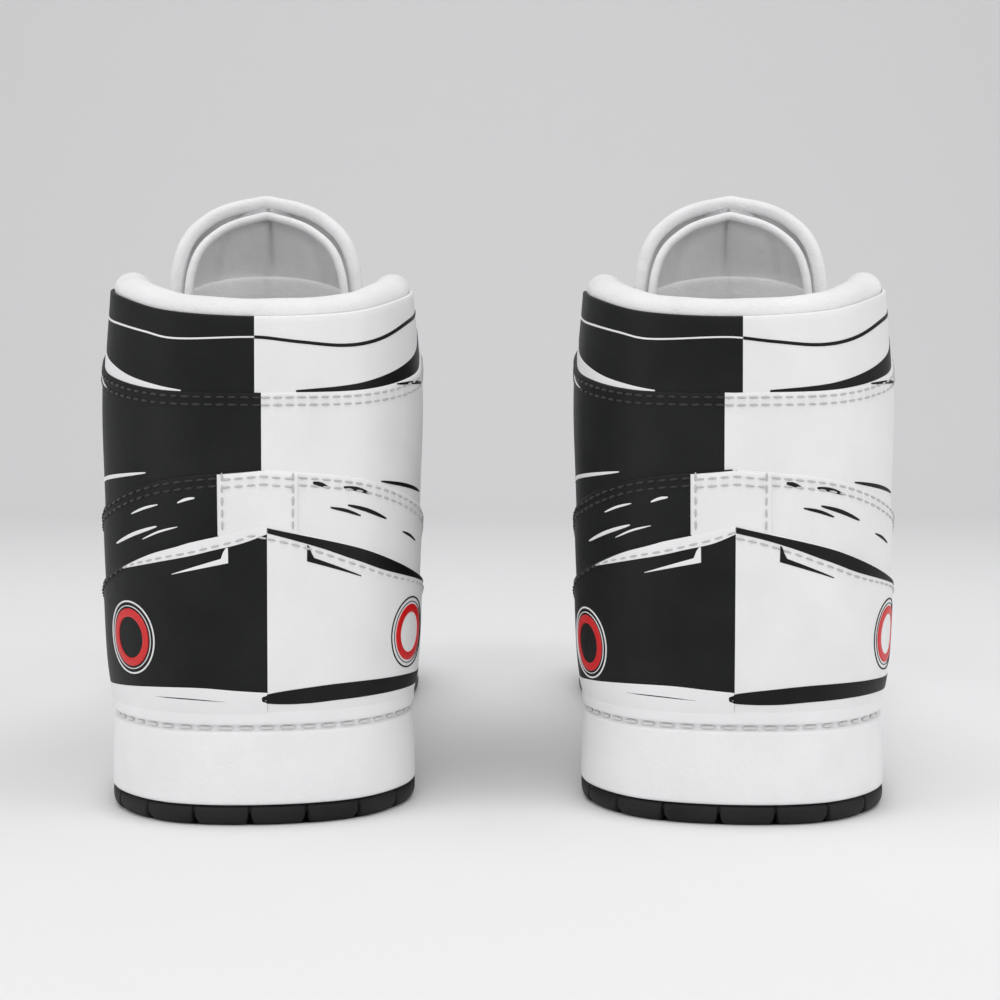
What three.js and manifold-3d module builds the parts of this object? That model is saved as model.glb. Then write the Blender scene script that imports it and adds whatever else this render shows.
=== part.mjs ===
// A pair of lace-up ankle-high sports shoes with a stitched rubber cup sole.
// Millimetres, +Z up, heels towards -Y and toes towards +Y. The left shoe stands at -X.
// One shoe is built in its own frame, with the back of the outsole at y = 0 and the lateral side at +X,
// and the left shoe is its mirror image. The upper is one smooth surface, and each panel is a region of it.
import * as THREE from "three";
import { mergeVertices } from "three/addons/utils/BufferGeometryUtils.js";
import Module from "manifold-3d";

const wasm = await Module();
wasm.setup();

// ---- Driving dimensions ----
const LENGTH = 298; // outsole, heel to toe
const HEEL_WIDTH = 82; // outsole, at the heel
const BALL_WIDTH = 100.6; // outsole, at the ball of the foot
const COLLAR_HEIGHT = 127.3; // top edge of the collar panel at the heel
const TOE_SPRING = 9; // lift of the toe off the floor
const SPRING_START = 205; // where the sole begins to lift
const TOE_OUT = 6; // degrees that each shoe is turned out
const HEEL_SPACING = 117; // between the two heels

const OUTSOLE_THICKNESS = 4.9;
const CUP_HEIGHT = 31; // top of the cup sole's lip
const CUP_FLOOR = 8; // top of the rubber under the foam
const GROOVE_HEIGHT = 24.6; // stitch groove round the cup sole
const GROOVE_DEPTH = 1.4;
const LIP_REVEAL = 1.6; // the lip stands this far out of the upper
const BOARD_HEIGHT = 18; // underside of the lasting board and of the upper
const BOARD_THICKNESS = 1.2;
const FOOTBED_THICKNESS = 4.5;

const CLEARANCE = 0.35; // between pieces that touch
const LAYER_GAP = 0.8; // between the layers of the upper, which are faceted in different places
const PANEL = 1.9; // thickness of an upper panel
const OVERLAY = 1.3; // how far an overlay stands out of the panels under it
const STIFFENER = 1.3;
const LINING = 1.0;
const COLLAR_FOAM = 6.0;
const ROLL_RADIUS = 4.4; // padded roll round the ankle opening
const TONGUE_THICKNESS = 7.5;
const TONGUE_HEIGHT = 168;
const TONGUE_HALF_WIDTH = 29;
const TONGUE_FLEX_HEIGHT = 139; // where the free top of the tongue bends
const LACE_WIDTH = 7;
const LACE_THICKNESS = 1.5;
const EYELET_RADIUS = 3.2;
const LACE_ROWS = 7;
const BACKSTAY_HALF_WIDTH = 10.8;
const NOTCH_PITCH = 14.4; // between the cleats along the sole's edge
const NOTCH_WIDTH = 2.2;
const NOTCH_DEPTH = 3.2;
const NOTCH_HEIGHT = 3.2;

// Each half of a loop round the shoe has this many stations, from the heel's centre to the toe's centre.
const STATIONS = 11;
const SAMPLES_PER_STATION = 2;

// ---- The sole's outline and the last, at the sizes in NOMINAL, lateral half ----
const NOMINAL = { length: 298, heel: 82, ball: 103, collar: 127.3, lip: 31 };
// The cup and the upper are faceted in different places, which shows more on a longer shoe.
const CUP_GAP = CLEARANCE * (LENGTH / NOMINAL.length) ** 2;
const SOLE_HALF = [
  [0, 0], [24, 5.5], [38, 23], [41, 48], [40, 80], [39.5, 112],
  [41.5, 148], [47.5, 184], [51.5, 216], [48.5, 248], [31, 282], [0, 298],
];
// Levels of the last above the lip: x, y, z at each station. The last level is the top line.
const LAST_LEVELS = [
  [
    [0, 2.4, 56], [24.2, 8, 56], [38, 25, 56], [40.6, 49, 56], [40.2, 80, 56], [39.3, 110, 56],
    [40, 146, 55], [43.5, 182, 53], [46.5, 212, 51], [42.5, 242, 48.5], [26.5, 271, 46.5], [0, 285, 46],
  ],
  [
    [0, 4.5, 82], [25, 10.5, 82], [38.8, 27.5, 82], [42.2, 50.5, 82], [42.4, 78, 83], [40, 106, 84],
    [36, 138, 81], [34, 172, 74], [32.5, 199, 68], [28, 224, 62.5], [16.5, 245, 59], [0, 254, 58],
  ],
  [
    [0, 7.5, 106], [25.2, 13.5, 106], [39.2, 30, 107], [43, 52, 109], [43.2, 76, 112], [39, 100, 114],
    [29, 128, 105], [23, 160, 91], [20, 184, 80.5], [16, 202, 73.5], [9, 214, 70], [0, 218.5, 69],
  ],
  [
    [0, 8.5, 127.3], [24.2, 14, 129], [37.4, 30, 133.5], [41, 51, 136.6], [40.5, 74, 136.4], [33.5, 95, 132.8],
    [20, 121, 118.5], [15.5, 150, 101], [13, 172, 86.5], [10, 186, 78.5], [5.5, 194, 74.5], [0, 196.5, 73.5],
  ],
];
const smooth = (t) => {
  const c = Math.min(1, Math.max(0, t));
  return c * c * (3 - 2 * c);
};

// The shoe's outline is scaled by heel width at the back and by ball width at the front.
function widthScale(y) {
  const heel = HEEL_WIDTH / NOMINAL.heel;
  const ball = BALL_WIDTH / NOMINAL.ball;
  return heel + (ball - heel) * smooth((y / NOMINAL.length - 0.3) / 0.4);
}

// A shoe's centreline swings to the medial side at the toe.
const TOE_SWING = 5.5;
const WAIST_SWING = 0.5;
function centreline(y) {
  const t = y / LENGTH;
  return WAIST_SWING * Math.sin(Math.PI * Math.min(1, t / 0.6)) - TOE_SWING * Math.max(0, t * 2 - 1) ** 1.6;
}

// The toe end of everything is lifted by the toe spring.
function lift(point) {
  const start = (SPRING_START / NOMINAL.length) * LENGTH;
  const t = Math.max(0, point.y - start) / (LENGTH - start);
  point.z += TOE_SPRING * t * t;
  return point;
}

// A closed loop through the stations of one side and their mirror images on the other.
function loopThrough(half) {
  const medial = half.slice(1, -1).reverse().map((p) => new THREE.Vector3(-p.x, p.y, p.z));
  const points = [...half, ...medial];
  for (const p of points) p.x += centreline(p.y);
  return new THREE.CatmullRomCurve3(points, true, "centripetal");
}

const soleHalf = SOLE_HALF.map(([x, y]) =>
  new THREE.Vector3(x * widthScale(y), (y / NOMINAL.length) * LENGTH, 0));
const soleLoop = loopThrough(soleHalf.map((p) => p.clone()));

// around: 0 at the heel's centre, 1 at the toe's centre by the lateral side, -1 by the medial side.
const wrap = (around) => (((around / 2) % 1) + 1) % 1;
const fold = (around) => Math.abs(((((around + 1) % 2) + 2) % 2) - 1);

// A point on the sole's outline, moved inwards by inset, at height z.
function solePoint(around, inset, z) {
  const u = wrap(around);
  const p = soleLoop.getPoint(u);
  const step = 0.004;
  const ahead = soleLoop.getPoint((u + step) % 1);
  const behind = soleLoop.getPoint((u - step + 1) % 1);
  const tangent = ahead.sub(behind).setZ(0).normalize();
  return new THREE.Vector3(p.x - tangent.y * inset, p.y + tangent.x * inset, z);
}

// The upper's surface at the lip is set in from the sole's edge, and its hidden hem is set in further.
const LIP_INSET = 0.6;
const UPPER_INSET = LIP_INSET + LIP_REVEAL;
const HEM_INSET = 7;

const hemLoop = new THREE.CatmullRomCurve3(
  stationsAround().map((a) => solePoint(a, HEM_INSET, BOARD_HEIGHT)), true, "centripetal");
const lipLoop = new THREE.CatmullRomCurve3(
  stationsAround().map((a) => solePoint(a, UPPER_INSET, CUP_HEIGHT)), true, "centripetal");

function stationsAround() {
  return Array.from({ length: 2 * STATIONS }, (_, i) => i / STATIONS);
}

const shaftScale = (COLLAR_HEIGHT - CUP_HEIGHT) / (NOMINAL.collar - NOMINAL.lip);
const levelLoops = LAST_LEVELS.map((level) =>
  loopThrough(level.map(([x, y, z]) => new THREE.Vector3(
    x * widthScale(y), (y / NOMINAL.length) * LENGTH, CUP_HEIGHT + (z - NOMINAL.lip) * shaftScale))));
const lastLoops = [hemLoop, lipLoop, ...levelLoops];

// A point of the last at up = 0 on the hem to 1 on the top line.
function lastPoint(around, up) {
  const u = wrap(around);
  const rib = new THREE.CatmullRomCurve3(lastLoops.map((loop) => loop.getPoint(u)), false, "centripetal");
  const v = Math.min(1, Math.max(0, up));
  const p = rib.getPoint(v);
  if (up > 1) {
    const back = rib.getPoint(1 - 0.02);
    p.add(p.clone().sub(back).multiplyScalar((up - 1) / 0.02));
  }
  return p;
}

function lastNormal(around, up) {
  const step = 0.01;
  const u = Math.min(1 - step, Math.max(step, up));
  const along = lastPoint(around + step, u).sub(lastPoint(around - step, u));
  const rise = lastPoint(around, u + step).sub(lastPoint(around, u - step));
  return along.cross(rise).normalize();
}

// A point at a distance out of the last along its normal.
function shellPoint(around, up, out) {
  return lastPoint(around, up).addScaledVector(lastNormal(around, up), out);
}

// A smooth function of position through a few [position, value] pairs.
function through(pairs) {
  const slope = pairs.map((_, i) => {
    const a = pairs[Math.max(0, i - 1)];
    const b = pairs[Math.min(pairs.length - 1, i + 1)];
    return (b[1] - a[1]) / (b[0] - a[0]);
  });
  return (x) => {
    const last = pairs.length - 1;
    if (x <= pairs[0][0]) return pairs[0][1];
    if (x >= pairs[last][0]) return pairs[last][1];
    const i = pairs.findIndex((p) => p[0] > x) - 1;
    const h = pairs[i + 1][0] - pairs[i][0];
    const t = (x - pairs[i][0]) / h;
    const t2 = t * t;
    const t3 = t2 * t;
    return (2 * t3 - 3 * t2 + 1) * pairs[i][1] + (t3 - 2 * t2 + t) * h * slope[i]
      + (3 * t2 - 2 * t3) * pairs[i + 1][1] + (t3 - t2) * h * slope[i + 1];
  };
}

// ---- Seams, as heights up the last against the distance round it ----
const counterTop = through([
  [0, 0.545], [0.09, 0.498], [0.18, 0.44], [0.273, 0.385], [0.34, 0.335], [0.4, 0.265], [0.44, 0.215],
]);
const quarterTop = through([
  [0, 0.657], [0.09, 0.635], [0.18, 0.586], [0.273, 0.528], [0.33, 0.5], [0.385, 0.5], [0.44, 0.56],
  [0.5, 0.65], [0.6, 0.71], [0.7, 0.735], [0.8, 0.76], [1, 0.82],
]);
const ankleTop = through([[0, 0.819], [0.09, 0.825], [0.18, 0.843], [0.273, 0.865], [0.385, 0.89]]);
const toeCapTop = through([[0.7, 0.3], [0.76, 0.34], [0.82, 0.385], [0.9, 0.44], [1, 0.47]]);
const COUNTER_END = 0.44;
const EYESTAY_START = 0.385;
const VAMP_START = 0.7; // the quarters end here, and the vamp and the toe cap begin
const ROLL_END = 0.435;
const SEAM = 0.0035; // half a clearance, as a share of the way up or round the last

// ---- Closed solids from cross-sections ----
function geometryFrom(points, triangles) {
  const geometry = new THREE.BufferGeometry();
  geometry.setAttribute("position", new THREE.Float32BufferAttribute(points.flatMap((p) => [p.x, p.y, p.z]), 3));
  geometry.setIndex(triangles);
  return geometry;
}

// Sections are closed polygons with the same number of points. An end is capped by joining opposite points.
// The second half of a section is its other face, and is split the same way, so the thickness stays even.
function sweep(sections, closed = false) {
  const n = sections[0].length;
  const rows = sections.length;
  const triangles = [];
  const at = (row, i) => (row % rows) * n + (i % n);
  for (let r = 0; r < (closed ? rows : rows - 1); r++) {
    for (let i = 0; i < n; i++) {
      const [a, b, c, d] = [at(r, i), at(r, i + 1), at(r + 1, i + 1), at(r + 1, i)];
      if (i < n / 2) triangles.push(a, b, c, a, c, d);
      else triangles.push(a, b, d, b, c, d);
    }
  }
  if (!closed) {
    cap(triangles, (i) => at(0, i), n, true);
    cap(triangles, (i) => at(rows - 1, i), n, false);
  }
  return outwards(geometryFrom(sections.flat(), triangles));
}

function cap(triangles, at, n, flip) {
  const add = (a, b, c) => triangles.push(...(flip ? [at(a), at(c), at(b)] : [at(a), at(b), at(c)]));
  for (let i = 0; i < Math.floor((n - 1) / 2); i++) {
    const j = n - 1 - i;
    if (i + 1 < j) add(i, i + 1, j);
    if (i + 1 < j - 1) add(i + 1, j - 1, j);
  }
}

function volumeOf(geometry) {
  const p = geometry.getAttribute("position");
  const index = geometry.getIndex();
  const [a, b, c] = [new THREE.Vector3(), new THREE.Vector3(), new THREE.Vector3()];
  let volume = 0;
  for (let i = 0; i < index.count; i += 3) {
    a.fromBufferAttribute(p, index.getX(i));
    b.fromBufferAttribute(p, index.getX(i + 1));
    c.fromBufferAttribute(p, index.getX(i + 2));
    volume += a.dot(b.cross(c)) / 6;
  }
  return volume;
}

function outwards(geometry) {
  if (volumeOf(geometry) < 0) {
    const index = geometry.getIndex();
    for (let i = 0; i < index.count; i += 3) {
      const b = index.getX(i + 1);
      index.setX(i + 1, index.getX(i + 2));
      index.setX(i + 2, b);
    }
  }
  return geometry;
}

// Places along the last between two ends, on the shared stations so that neighbouring pieces line up.
function placesBetween(start, end) {
  const step = 1 / (STATIONS * SAMPLES_PER_STATION);
  const places = [start];
  for (let i = Math.floor(start / step) + 1; i * step < end - 1e-6; i++) {
    if (i * step > start + 0.3 * step && i * step < end - 0.3 * step) places.push(i * step);
  }
  places.push(end);
  return places;
}

// Heights up a panel. One that is held in the cup runs straight from its hem to the lip.
const LIP = 0.2;
const ABOVE_LIP = 0.265;
function levelsBetween(low, high, steps) {
  if (low > LIP - 0.02) return Array.from({ length: steps + 1 }, (_, i) => low + ((high - low) * i) / steps);
  const rest = steps - 2;
  const knee = Math.min(ABOVE_LIP, (LIP + high) / 2);
  return [low, LIP, ...Array.from({ length: rest + 1 }, (_, i) => knee + ((high - knee) * i) / rest)];
}

// A panel of the upper: a strip of the last from bottom(around) to top(around), with a thickness.
function panel({ start, end, bottom, top, inner, outer, steps, closed = false, extra = [] }) {
  const places = [...placesBetween(start, end), ...extra].sort((a, b) => a - b);
  if (closed) places.pop();
  const sections = places.map((around) => {
    const heights = levelsBetween(bottom(around), top(around), steps);
    const outerFace = heights.map((up) => shellPoint(around, up, outer(around, up)));
    const innerFace = heights.map((up) => shellPoint(around, up, inner(around, up))).reverse();
    return [...outerFace, ...innerFace].map(lift);
  });
  return sweep(sections, closed);
}

// Overlays are flush with the last where the cup's lip holds them, and stand out above it.
const proud = (amount) => (around, up) => amount * smooth((up - LIP) / (ABOVE_LIP - LIP));
const flush = () => 0;
const behind = () => -PANEL;

// Rings round the sole's outline, from the underside's edge to the last one, closed across both ends.
function ringSolid(profile) {
  const places = placesBetween(0, 2).slice(0, -1);
  const rings = profile.map(([inset, z]) => places.map((a) => lift(solePoint(a, inset, z))));
  const n = places.length;
  const triangles = [];
  for (let r = 0; r < rings.length - 1; r++) {
    for (let i = 0; i < n; i++) {
      const j = (i + 1) % n;
      triangles.push(r * n + i, r * n + j, (r + 1) * n + j, r * n + i, (r + 1) * n + j, (r + 1) * n + i);
    }
  }
  zip(triangles, 0, n, true);
  zip(triangles, (rings.length - 1) * n, n, false);
  return outwards(geometryFrom(rings.flat(), triangles));
}

// Closes a ring by joining each lateral point to the medial point opposite.
function zip(triangles, first, n, flip) {
  const add = (a, b, c) => triangles.push(first + a, first + (flip ? c : b), first + (flip ? b : c));
  add(0, 1, n - 1);
  for (let i = 1; i < n / 2 - 1; i++) {
    add(i, i + 1, n - i - 1);
    add(i, n - i - 1, n - i);
  }
  add(n / 2 - 1, n / 2, n / 2 + 1);
}

// ---- Booleans ----
function solidOf(geometry) {
  const bare = geometry.clone();
  bare.deleteAttribute("normal");
  bare.deleteAttribute("uv");
  const merged = mergeVertices(bare, 1e-4);
  return new wasm.Manifold(new wasm.Mesh({
    numProp: 3,
    vertProperties: new Float32Array(merged.getAttribute("position").array),
    triVerts: new Uint32Array(merged.getIndex().array),
  }));
}

function geometryOf(solid) {
  const mesh = solid.getMesh();
  const geometry = new THREE.BufferGeometry();
  geometry.setAttribute("position", new THREE.BufferAttribute(new Float32Array(mesh.vertProperties), 3));
  geometry.setIndex(new THREE.BufferAttribute(new Uint32Array(mesh.triVerts), 1));
  return geometry;
}

function largest(solid) {
  return solid.decompose().reduce((best, body) => (body.volume() > best.volume() ? body : best));
}

function cut(geometry, tools) {
  let solid = solidOf(geometry);
  for (const tool of tools) solid = solid.subtract(solidOf(tool));
  return geometryOf(solid);
}

// ---- Sole ----
function outsole() {
  const slab = ringSolid([
    [2.6, 0], [0.9, 1.1], [0.3, 2.6], [0.4, OUTSOLE_THICKNESS],
  ]);
  const notches = [];
  const edgePlaces = notchPlaces();
  for (const around of edgePlaces) {
    const outer = lift(solePoint(around, 0, 0));
    const inner = lift(solePoint(around, 10, 0));
    const direction = inner.clone().sub(outer).setZ(0).normalize();
    const box = new THREE.BoxGeometry(2 * NOTCH_DEPTH, NOTCH_WIDTH, 2 * NOTCH_HEIGHT);
    box.rotateZ(Math.atan2(direction.y, direction.x));
    box.translate(outer.x, outer.y, outer.z);
    notches.push(box);
  }
  return cut(slab, notches);
}

// Cleat gaps at even distances round the heel and the toe, half a pitch off the centre.
function notchPlaces() {
  const heel = [];
  const toe = [];
  const each = NOTCH_PITCH / (soleLoop.getLength() / 2);
  for (let i = 0; i < 3; i++) {
    const near = (i + 0.5) * each;
    heel.push(near, -near);
    toe.push(1 - near, 1 + near);
  }
  return [...heel, ...toe];
}

function cupsole() {
  return ringSolid([
    [1.4, OUTSOLE_THICKNESS + CLEARANCE],
    [0.3, OUTSOLE_THICKNESS + 1.2],
    [0.9, GROOVE_HEIGHT - 1],
    [0.9 + GROOVE_DEPTH, GROOVE_HEIGHT],
    [LIP_INSET, GROOVE_HEIGHT + 1.2],
    [LIP_INSET, CUP_HEIGHT - 0.7],
    [LIP_INSET + 0.6, CUP_HEIGHT],
    [UPPER_INSET - CUP_GAP, CUP_HEIGHT],
    [HEM_INSET - CUP_GAP, BOARD_HEIGHT],
    [HEM_INSET, BOARD_HEIGHT - 1],
    [HEM_INSET, CUP_FLOOR],
  ]);
}

function midsoleFoam() {
  return ringSolid([
    [HEM_INSET + CLEARANCE, CUP_FLOOR + CLEARANCE],
    [HEM_INSET + CLEARANCE, BOARD_HEIGHT - 1 - CLEARANCE],
  ]);
}

const BOARD_INSET = HEM_INSET + PANEL + STIFFENER + LINING + 3 * LAYER_GAP;
function lastingBoard() {
  return ringSolid([[BOARD_INSET, BOARD_HEIGHT], [BOARD_INSET, BOARD_HEIGHT + BOARD_THICKNESS]]);
}

function footbed() {
  const low = BOARD_HEIGHT + BOARD_THICKNESS + CLEARANCE;
  return ringSolid([
    [BOARD_INSET + 1, low],
    [BOARD_INSET + 0.5, low + FOOTBED_THICKNESS - 1],
    [BOARD_INSET + 1.5, low + FOOTBED_THICKNESS],
  ]);
}

// ---- Upper ----
const backstayEnd = BACKSTAY_HALF_WIDTH / (soleLoop.getLength() / 2);
const foldOf = (seam, gap = 0) => (around) => seam(fold(around)) + gap;

function heelCounter() {
  return panel({
    start: -COUNTER_END, end: COUNTER_END, steps: 4,
    bottom: flush, top: foldOf(counterTop, -SEAM), inner: behind, outer: proud(OVERLAY),
  });
}

function backstay() {
  return panel({
    start: -backstayEnd, end: backstayEnd, steps: 1,
    bottom: foldOf(counterTop, SEAM), top: foldOf(quarterTop, -SEAM), inner: behind, outer: proud(0.7 * OVERLAY),
  });
}

// The quarter steps down into the cup just past the counter's end.
function quarter(side) {
  const near = backstayEnd + 2 * SEAM;
  const far = VAMP_START - SEAM;
  const step = COUNTER_END + SEAM;
  return panel({
    start: side > 0 ? near : -far, end: side > 0 ? far : -near, steps: 5,
    extra: [side * step, side * (step + 0.001)],
    bottom: (around) => (fold(around) < step + 0.0005 ? counterTop(fold(around)) + SEAM : 0),
    top: foldOf(quarterTop, -SEAM), inner: behind, outer: proud(0.5 * OVERLAY),
  });
}

function anklePanel() {
  const end = EYESTAY_START - SEAM;
  return panel({
    start: -end, end, steps: 3,
    bottom: foldOf(quarterTop, SEAM), top: foldOf(ankleTop, -SEAM), inner: behind, outer: () => 0.6 * OVERLAY,
  });
}

function collarPanel() {
  const end = EYESTAY_START - SEAM;
  return panel({
    start: -end, end, steps: 2,
    bottom: foldOf(ankleTop, SEAM), top: () => 1, inner: behind, outer: flush,
  });
}

function eyestay() {
  const body = panel({
    start: EYESTAY_START + SEAM, end: 2 - EYESTAY_START - SEAM, steps: 4,
    bottom: foldOf(quarterTop, SEAM), top: () => 1, inner: behind, outer: () => OVERLAY,
  });
  return cut(body, eyeletTools());
}

function vamp() {
  return panel({
    start: VAMP_START + SEAM, end: 2 - VAMP_START - SEAM, steps: 4,
    bottom: foldOf(toeCapTop, SEAM), top: foldOf(quarterTop, -SEAM), inner: behind, outer: flush,
  });
}

function toeCap() {
  return panel({
    start: VAMP_START + SEAM, end: 2 - VAMP_START - SEAM, steps: 6,
    bottom: flush, top: foldOf(toeCapTop, -SEAM), inner: behind, outer: proud(OVERLAY),
  });
}

// Inside the panels come the stiffeners, then the foam of the collar, then the lining.
const stiffOuter = -PANEL - LAYER_GAP;
const stiffInner = stiffOuter - STIFFENER;
const foamOuter = stiffOuter;
const LINING_TOP = 0.895;
const FACING_BOTTOM = 0.78; // the lining ends here along the throat, where the eyelets have their own facing

function heelStiffener() {
  return panel({
    start: -0.3, end: 0.3, steps: 3, bottom: () => 0.21, top: () => 0.56,
    inner: () => stiffInner, outer: () => stiffOuter,
  });
}

function toePuff() {
  return panel({
    start: 0.83, end: 1.17, steps: 3, bottom: () => 0.21, top: () => 0.4,
    inner: () => stiffInner, outer: () => stiffOuter,
  });
}

// The foam thickens from the heel stiffener's top to the collar, and the lining follows it.
const FOAM_START = 0.6;
const FOAM_END = 0.44;
const foamDepth = (around, up) => {
  const d = fold(around);
  return COLLAR_FOAM * smooth((up - FOAM_START + 0.05) / 0.2) * (1 - smooth((d - 0.4) / 0.1));
};

function collarFoam() {
  return panel({
    start: -FOAM_END, end: FOAM_END, steps: 3, bottom: () => FOAM_START, top: () => LINING_TOP,
    inner: (around, up) => foamOuter - 0.4 - foamDepth(around, up), outer: () => foamOuter,
  });
}

const liningOuter = (around, up) => stiffInner - LAYER_GAP - foamDepth(around, up);
function lining() {
  return panel({
    start: 0, end: 2, closed: true, steps: 6, bottom: () => 0.02,
    top: (around) => LINING_TOP - (LINING_TOP - FACING_BOTTOM + 2 * SEAM) * smooth((fold(around) - 0.4) / 0.08),
    inner: (around, up) => liningOuter(around, up) - LINING, outer: liningOuter,
  });
}

// A padded roll on the collar's edge, over the foam and between the collar panel and the lining.
function rollSolid(size) {
  const sides = 8;
  const centreDepth = PANEL + CLEARANCE + ROLL_RADIUS;
  const sections = placesBetween(-ROLL_END, ROLL_END).map((around) => {
    const radius = size * (1 - 0.35 * smooth((fold(around) - ROLL_END + 0.08) / 0.08));
    const normal = lastNormal(around, 0.98);
    const top = lastPoint(around, 1);
    const rise = top.clone().sub(lastPoint(around, 0.97)).normalize();
    const depth = centreDepth - (size - radius);
    const centre = top.addScaledVector(normal, -depth).addScaledVector(rise, -0.4);
    return Array.from({ length: sides }, (_, i) => {
      const angle = ((i + 0.5) / sides) * 2 * Math.PI;
      return lift(centre.clone().addScaledVector(normal, radius * Math.cos(angle))
        .addScaledVector(rise, radius * Math.sin(angle)));
    });
  });
  return sweep(sections);
}

// ---- Tongue ----
// Up the throat, the tongue's middle lies this far below the line between the eyestays' edges.
const TONGUE_THROAT = [
  { around: 0.97, depth: 9, tuck: 10, back: 3 },
  { around: 0.9, depth: 6, tuck: 10, back: 5 },
  { around: 0.81, depth: 3.5, tuck: 10, back: 8 },
  { around: 0.72, depth: 2.5, tuck: 10, back: 11 },
  { around: 0.63, depth: 2, tuck: 10, back: 14 },
  { around: 0.56, depth: 2.6, tuck: 8, back: 17 },
  { around: 0.52, depth: 3.4, tuck: 5, back: 18 },
];
// Above the throat: share of the way to the tongue's top, of the lean back, and of the half width.
const TONGUE_FREE = [
  { rise: 0.28, lean: 0.3, width: 1, back: 17 },
  { rise: 0.58, lean: 0.62, width: 0.97, back: 15 },
  { rise: 0.8, lean: 0.85, width: 0.78, back: 10 },
  { rise: 0.94, lean: 0.97, width: 0.44, back: 4 },
  { rise: 1, lean: 1, width: 0.2, back: 1 },
];
const TONGUE_LEAN = 6;
const TONGUE_EDGE = 0.45; // thickness at the edges, as a share of the middle's

function tonguePlaces() {
  const throat = TONGUE_THROAT.map(({ around, depth, tuck, back }) => {
    const [a, b] = [lastPoint(around, 1), lastPoint(2 - around, 1)];
    const out = lastNormal(around, 0.97).add(lastNormal(2 - around, 0.97)).setX(0).normalize();
    const point = a.clone().add(b).multiplyScalar(0.5).addScaledVector(out, -depth);
    return { point, half: Math.min(TONGUE_HALF_WIDTH, a.distanceTo(b) / 2 + tuck), back };
  });
  const foot = throat[throat.length - 1].point;
  const free = TONGUE_FREE.map(({ rise, lean, width, back }) => ({
    point: new THREE.Vector3(foot.x, foot.y - TONGUE_LEAN * lean, foot.z + (TONGUE_HEIGHT - foot.z) * rise),
    half: TONGUE_HALF_WIDTH * width,
    back,
  }));
  return [...throat, ...free];
}

function tongueBody() {
  const places = tonguePlaces();
  const spans = 8;
  const widest = Math.PI / 2.2;
  const sections = places.map(({ point, half, back }, i) => {
    const before = places[Math.max(0, i - 1)].point;
    const after = places[Math.min(places.length - 1, i + 1)].point;
    const rise = after.clone().sub(before).setX(0).normalize();
    const out = new THREE.Vector3(0, rise.z, -rise.y);
    const face = (share, depth) => {
      const angle = share * widest;
      const across = (half * Math.sin(angle)) / Math.sin(widest);
      const setBack = (back * (1 - Math.cos(angle))) / (1 - Math.cos(widest));
      return new THREE.Vector3(point.x + across, point.y, point.z).addScaledVector(out, -setBack - depth);
    };
    const taper = i === 0 || i === places.length - 1 ? 0.6 : 1;
    const shares = Array.from({ length: spans + 1 }, (_, k) => (2 * k) / spans - 1);
    const thickness = (share) => taper * TONGUE_THICKNESS * (1 - (1 - TONGUE_EDGE) * share ** 4);
    const outerFace = shares.map((share) => face(share, 0));
    const innerFace = shares.map((share) => face(share, thickness(share))).reverse();
    return [...outerFace, ...innerFace].map(lift);
  });
  return sweep(sections);
}

// The upper, its lining, the lace's runs and the roll, with room round them, which the tongue stays clear of.
function tongueBounds() {
  const clear = LACE_UNDER - LACE_THICKNESS / 2 - 1.5 * LAYER_GAP;
  const shell = panel({
    start: 0, end: 2, closed: true, steps: 5, bottom: () => 0.55, top: () => 1,
    inner: (around, up) => Math.min(clear, liningOuter(around, up) - LINING - LAYER_GAP), outer: () => 4,
  });
  const laceRoom = ribbon(lacePath(), LACE_WIDTH + 2 * CLEARANCE, LACE_THICKNESS + CLEARANCE);
  return [shell, rollSolid(ROLL_RADIUS + CLEARANCE), laceRoom];
}

// The tongue is cut where its top bends: a thin wedge, wider at the back, lets it lean both ways.
const FLEX_GAP = 0.6;
const FLEX_LEAN = 2.6;
function tongueParts() {
  const whole = largest(solidOf(cut(tongueBody(), tongueBounds())));
  const y = flexPoint().y;
  const wedge = new THREE.Shape([
    new THREE.Vector2(y + 20, TONGUE_FLEX_HEIGHT - FLEX_GAP / 2),
    new THREE.Vector2(y + 20, TONGUE_FLEX_HEIGHT + FLEX_GAP / 2),
    new THREE.Vector2(y, TONGUE_FLEX_HEIGHT + FLEX_GAP / 2),
    new THREE.Vector2(y - 60, TONGUE_FLEX_HEIGHT + FLEX_GAP / 2 + 2 * FLEX_LEAN * 2),
    new THREE.Vector2(y - 60, TONGUE_FLEX_HEIGHT - FLEX_GAP / 2),
  ]);
  const slab = new THREE.ExtrudeGeometry(wedge, { depth: 120, bevelEnabled: false });
  slab.translate(0, 0, -60);
  slab.applyMatrix4(new THREE.Matrix4().makeBasis(
    new THREE.Vector3(0, 1, 0), new THREE.Vector3(0, 0, 1), new THREE.Vector3(1, 0, 0)));
  const halves = whole.subtract(solidOf(slab)).decompose().filter((half) => half.volume() > 100);
  const heightOf = (solid) => solid.boundingBox().max[2];
  halves.sort((a, b) => heightOf(a) - heightOf(b));
  return halves.map(geometryOf);
}

// Where the tongue's outer face crosses the height at which its top bends.
function flexPoint() {
  const points = tonguePlaces().map(({ point }) => point);
  const i = points.findIndex((p) => p.z > TONGUE_FLEX_HEIGHT);
  const t = (TONGUE_FLEX_HEIGHT - points[i - 1].z) / (points[i].z - points[i - 1].z);
  return points[i - 1].clone().lerp(points[i], t);
}

// ---- Eyelets and lace ----
const EYELET_UP = 0.86;
const FIRST_EYELET = 0.515;
const LAST_EYELET = 0.86;
const rowPlace = (row) => LAST_EYELET + ((FIRST_EYELET - LAST_EYELET) * row) / (LACE_ROWS - 1);
const sidePlace = (row, side) => (side > 0 ? rowPlace(row) : 2 - rowPlace(row));

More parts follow.
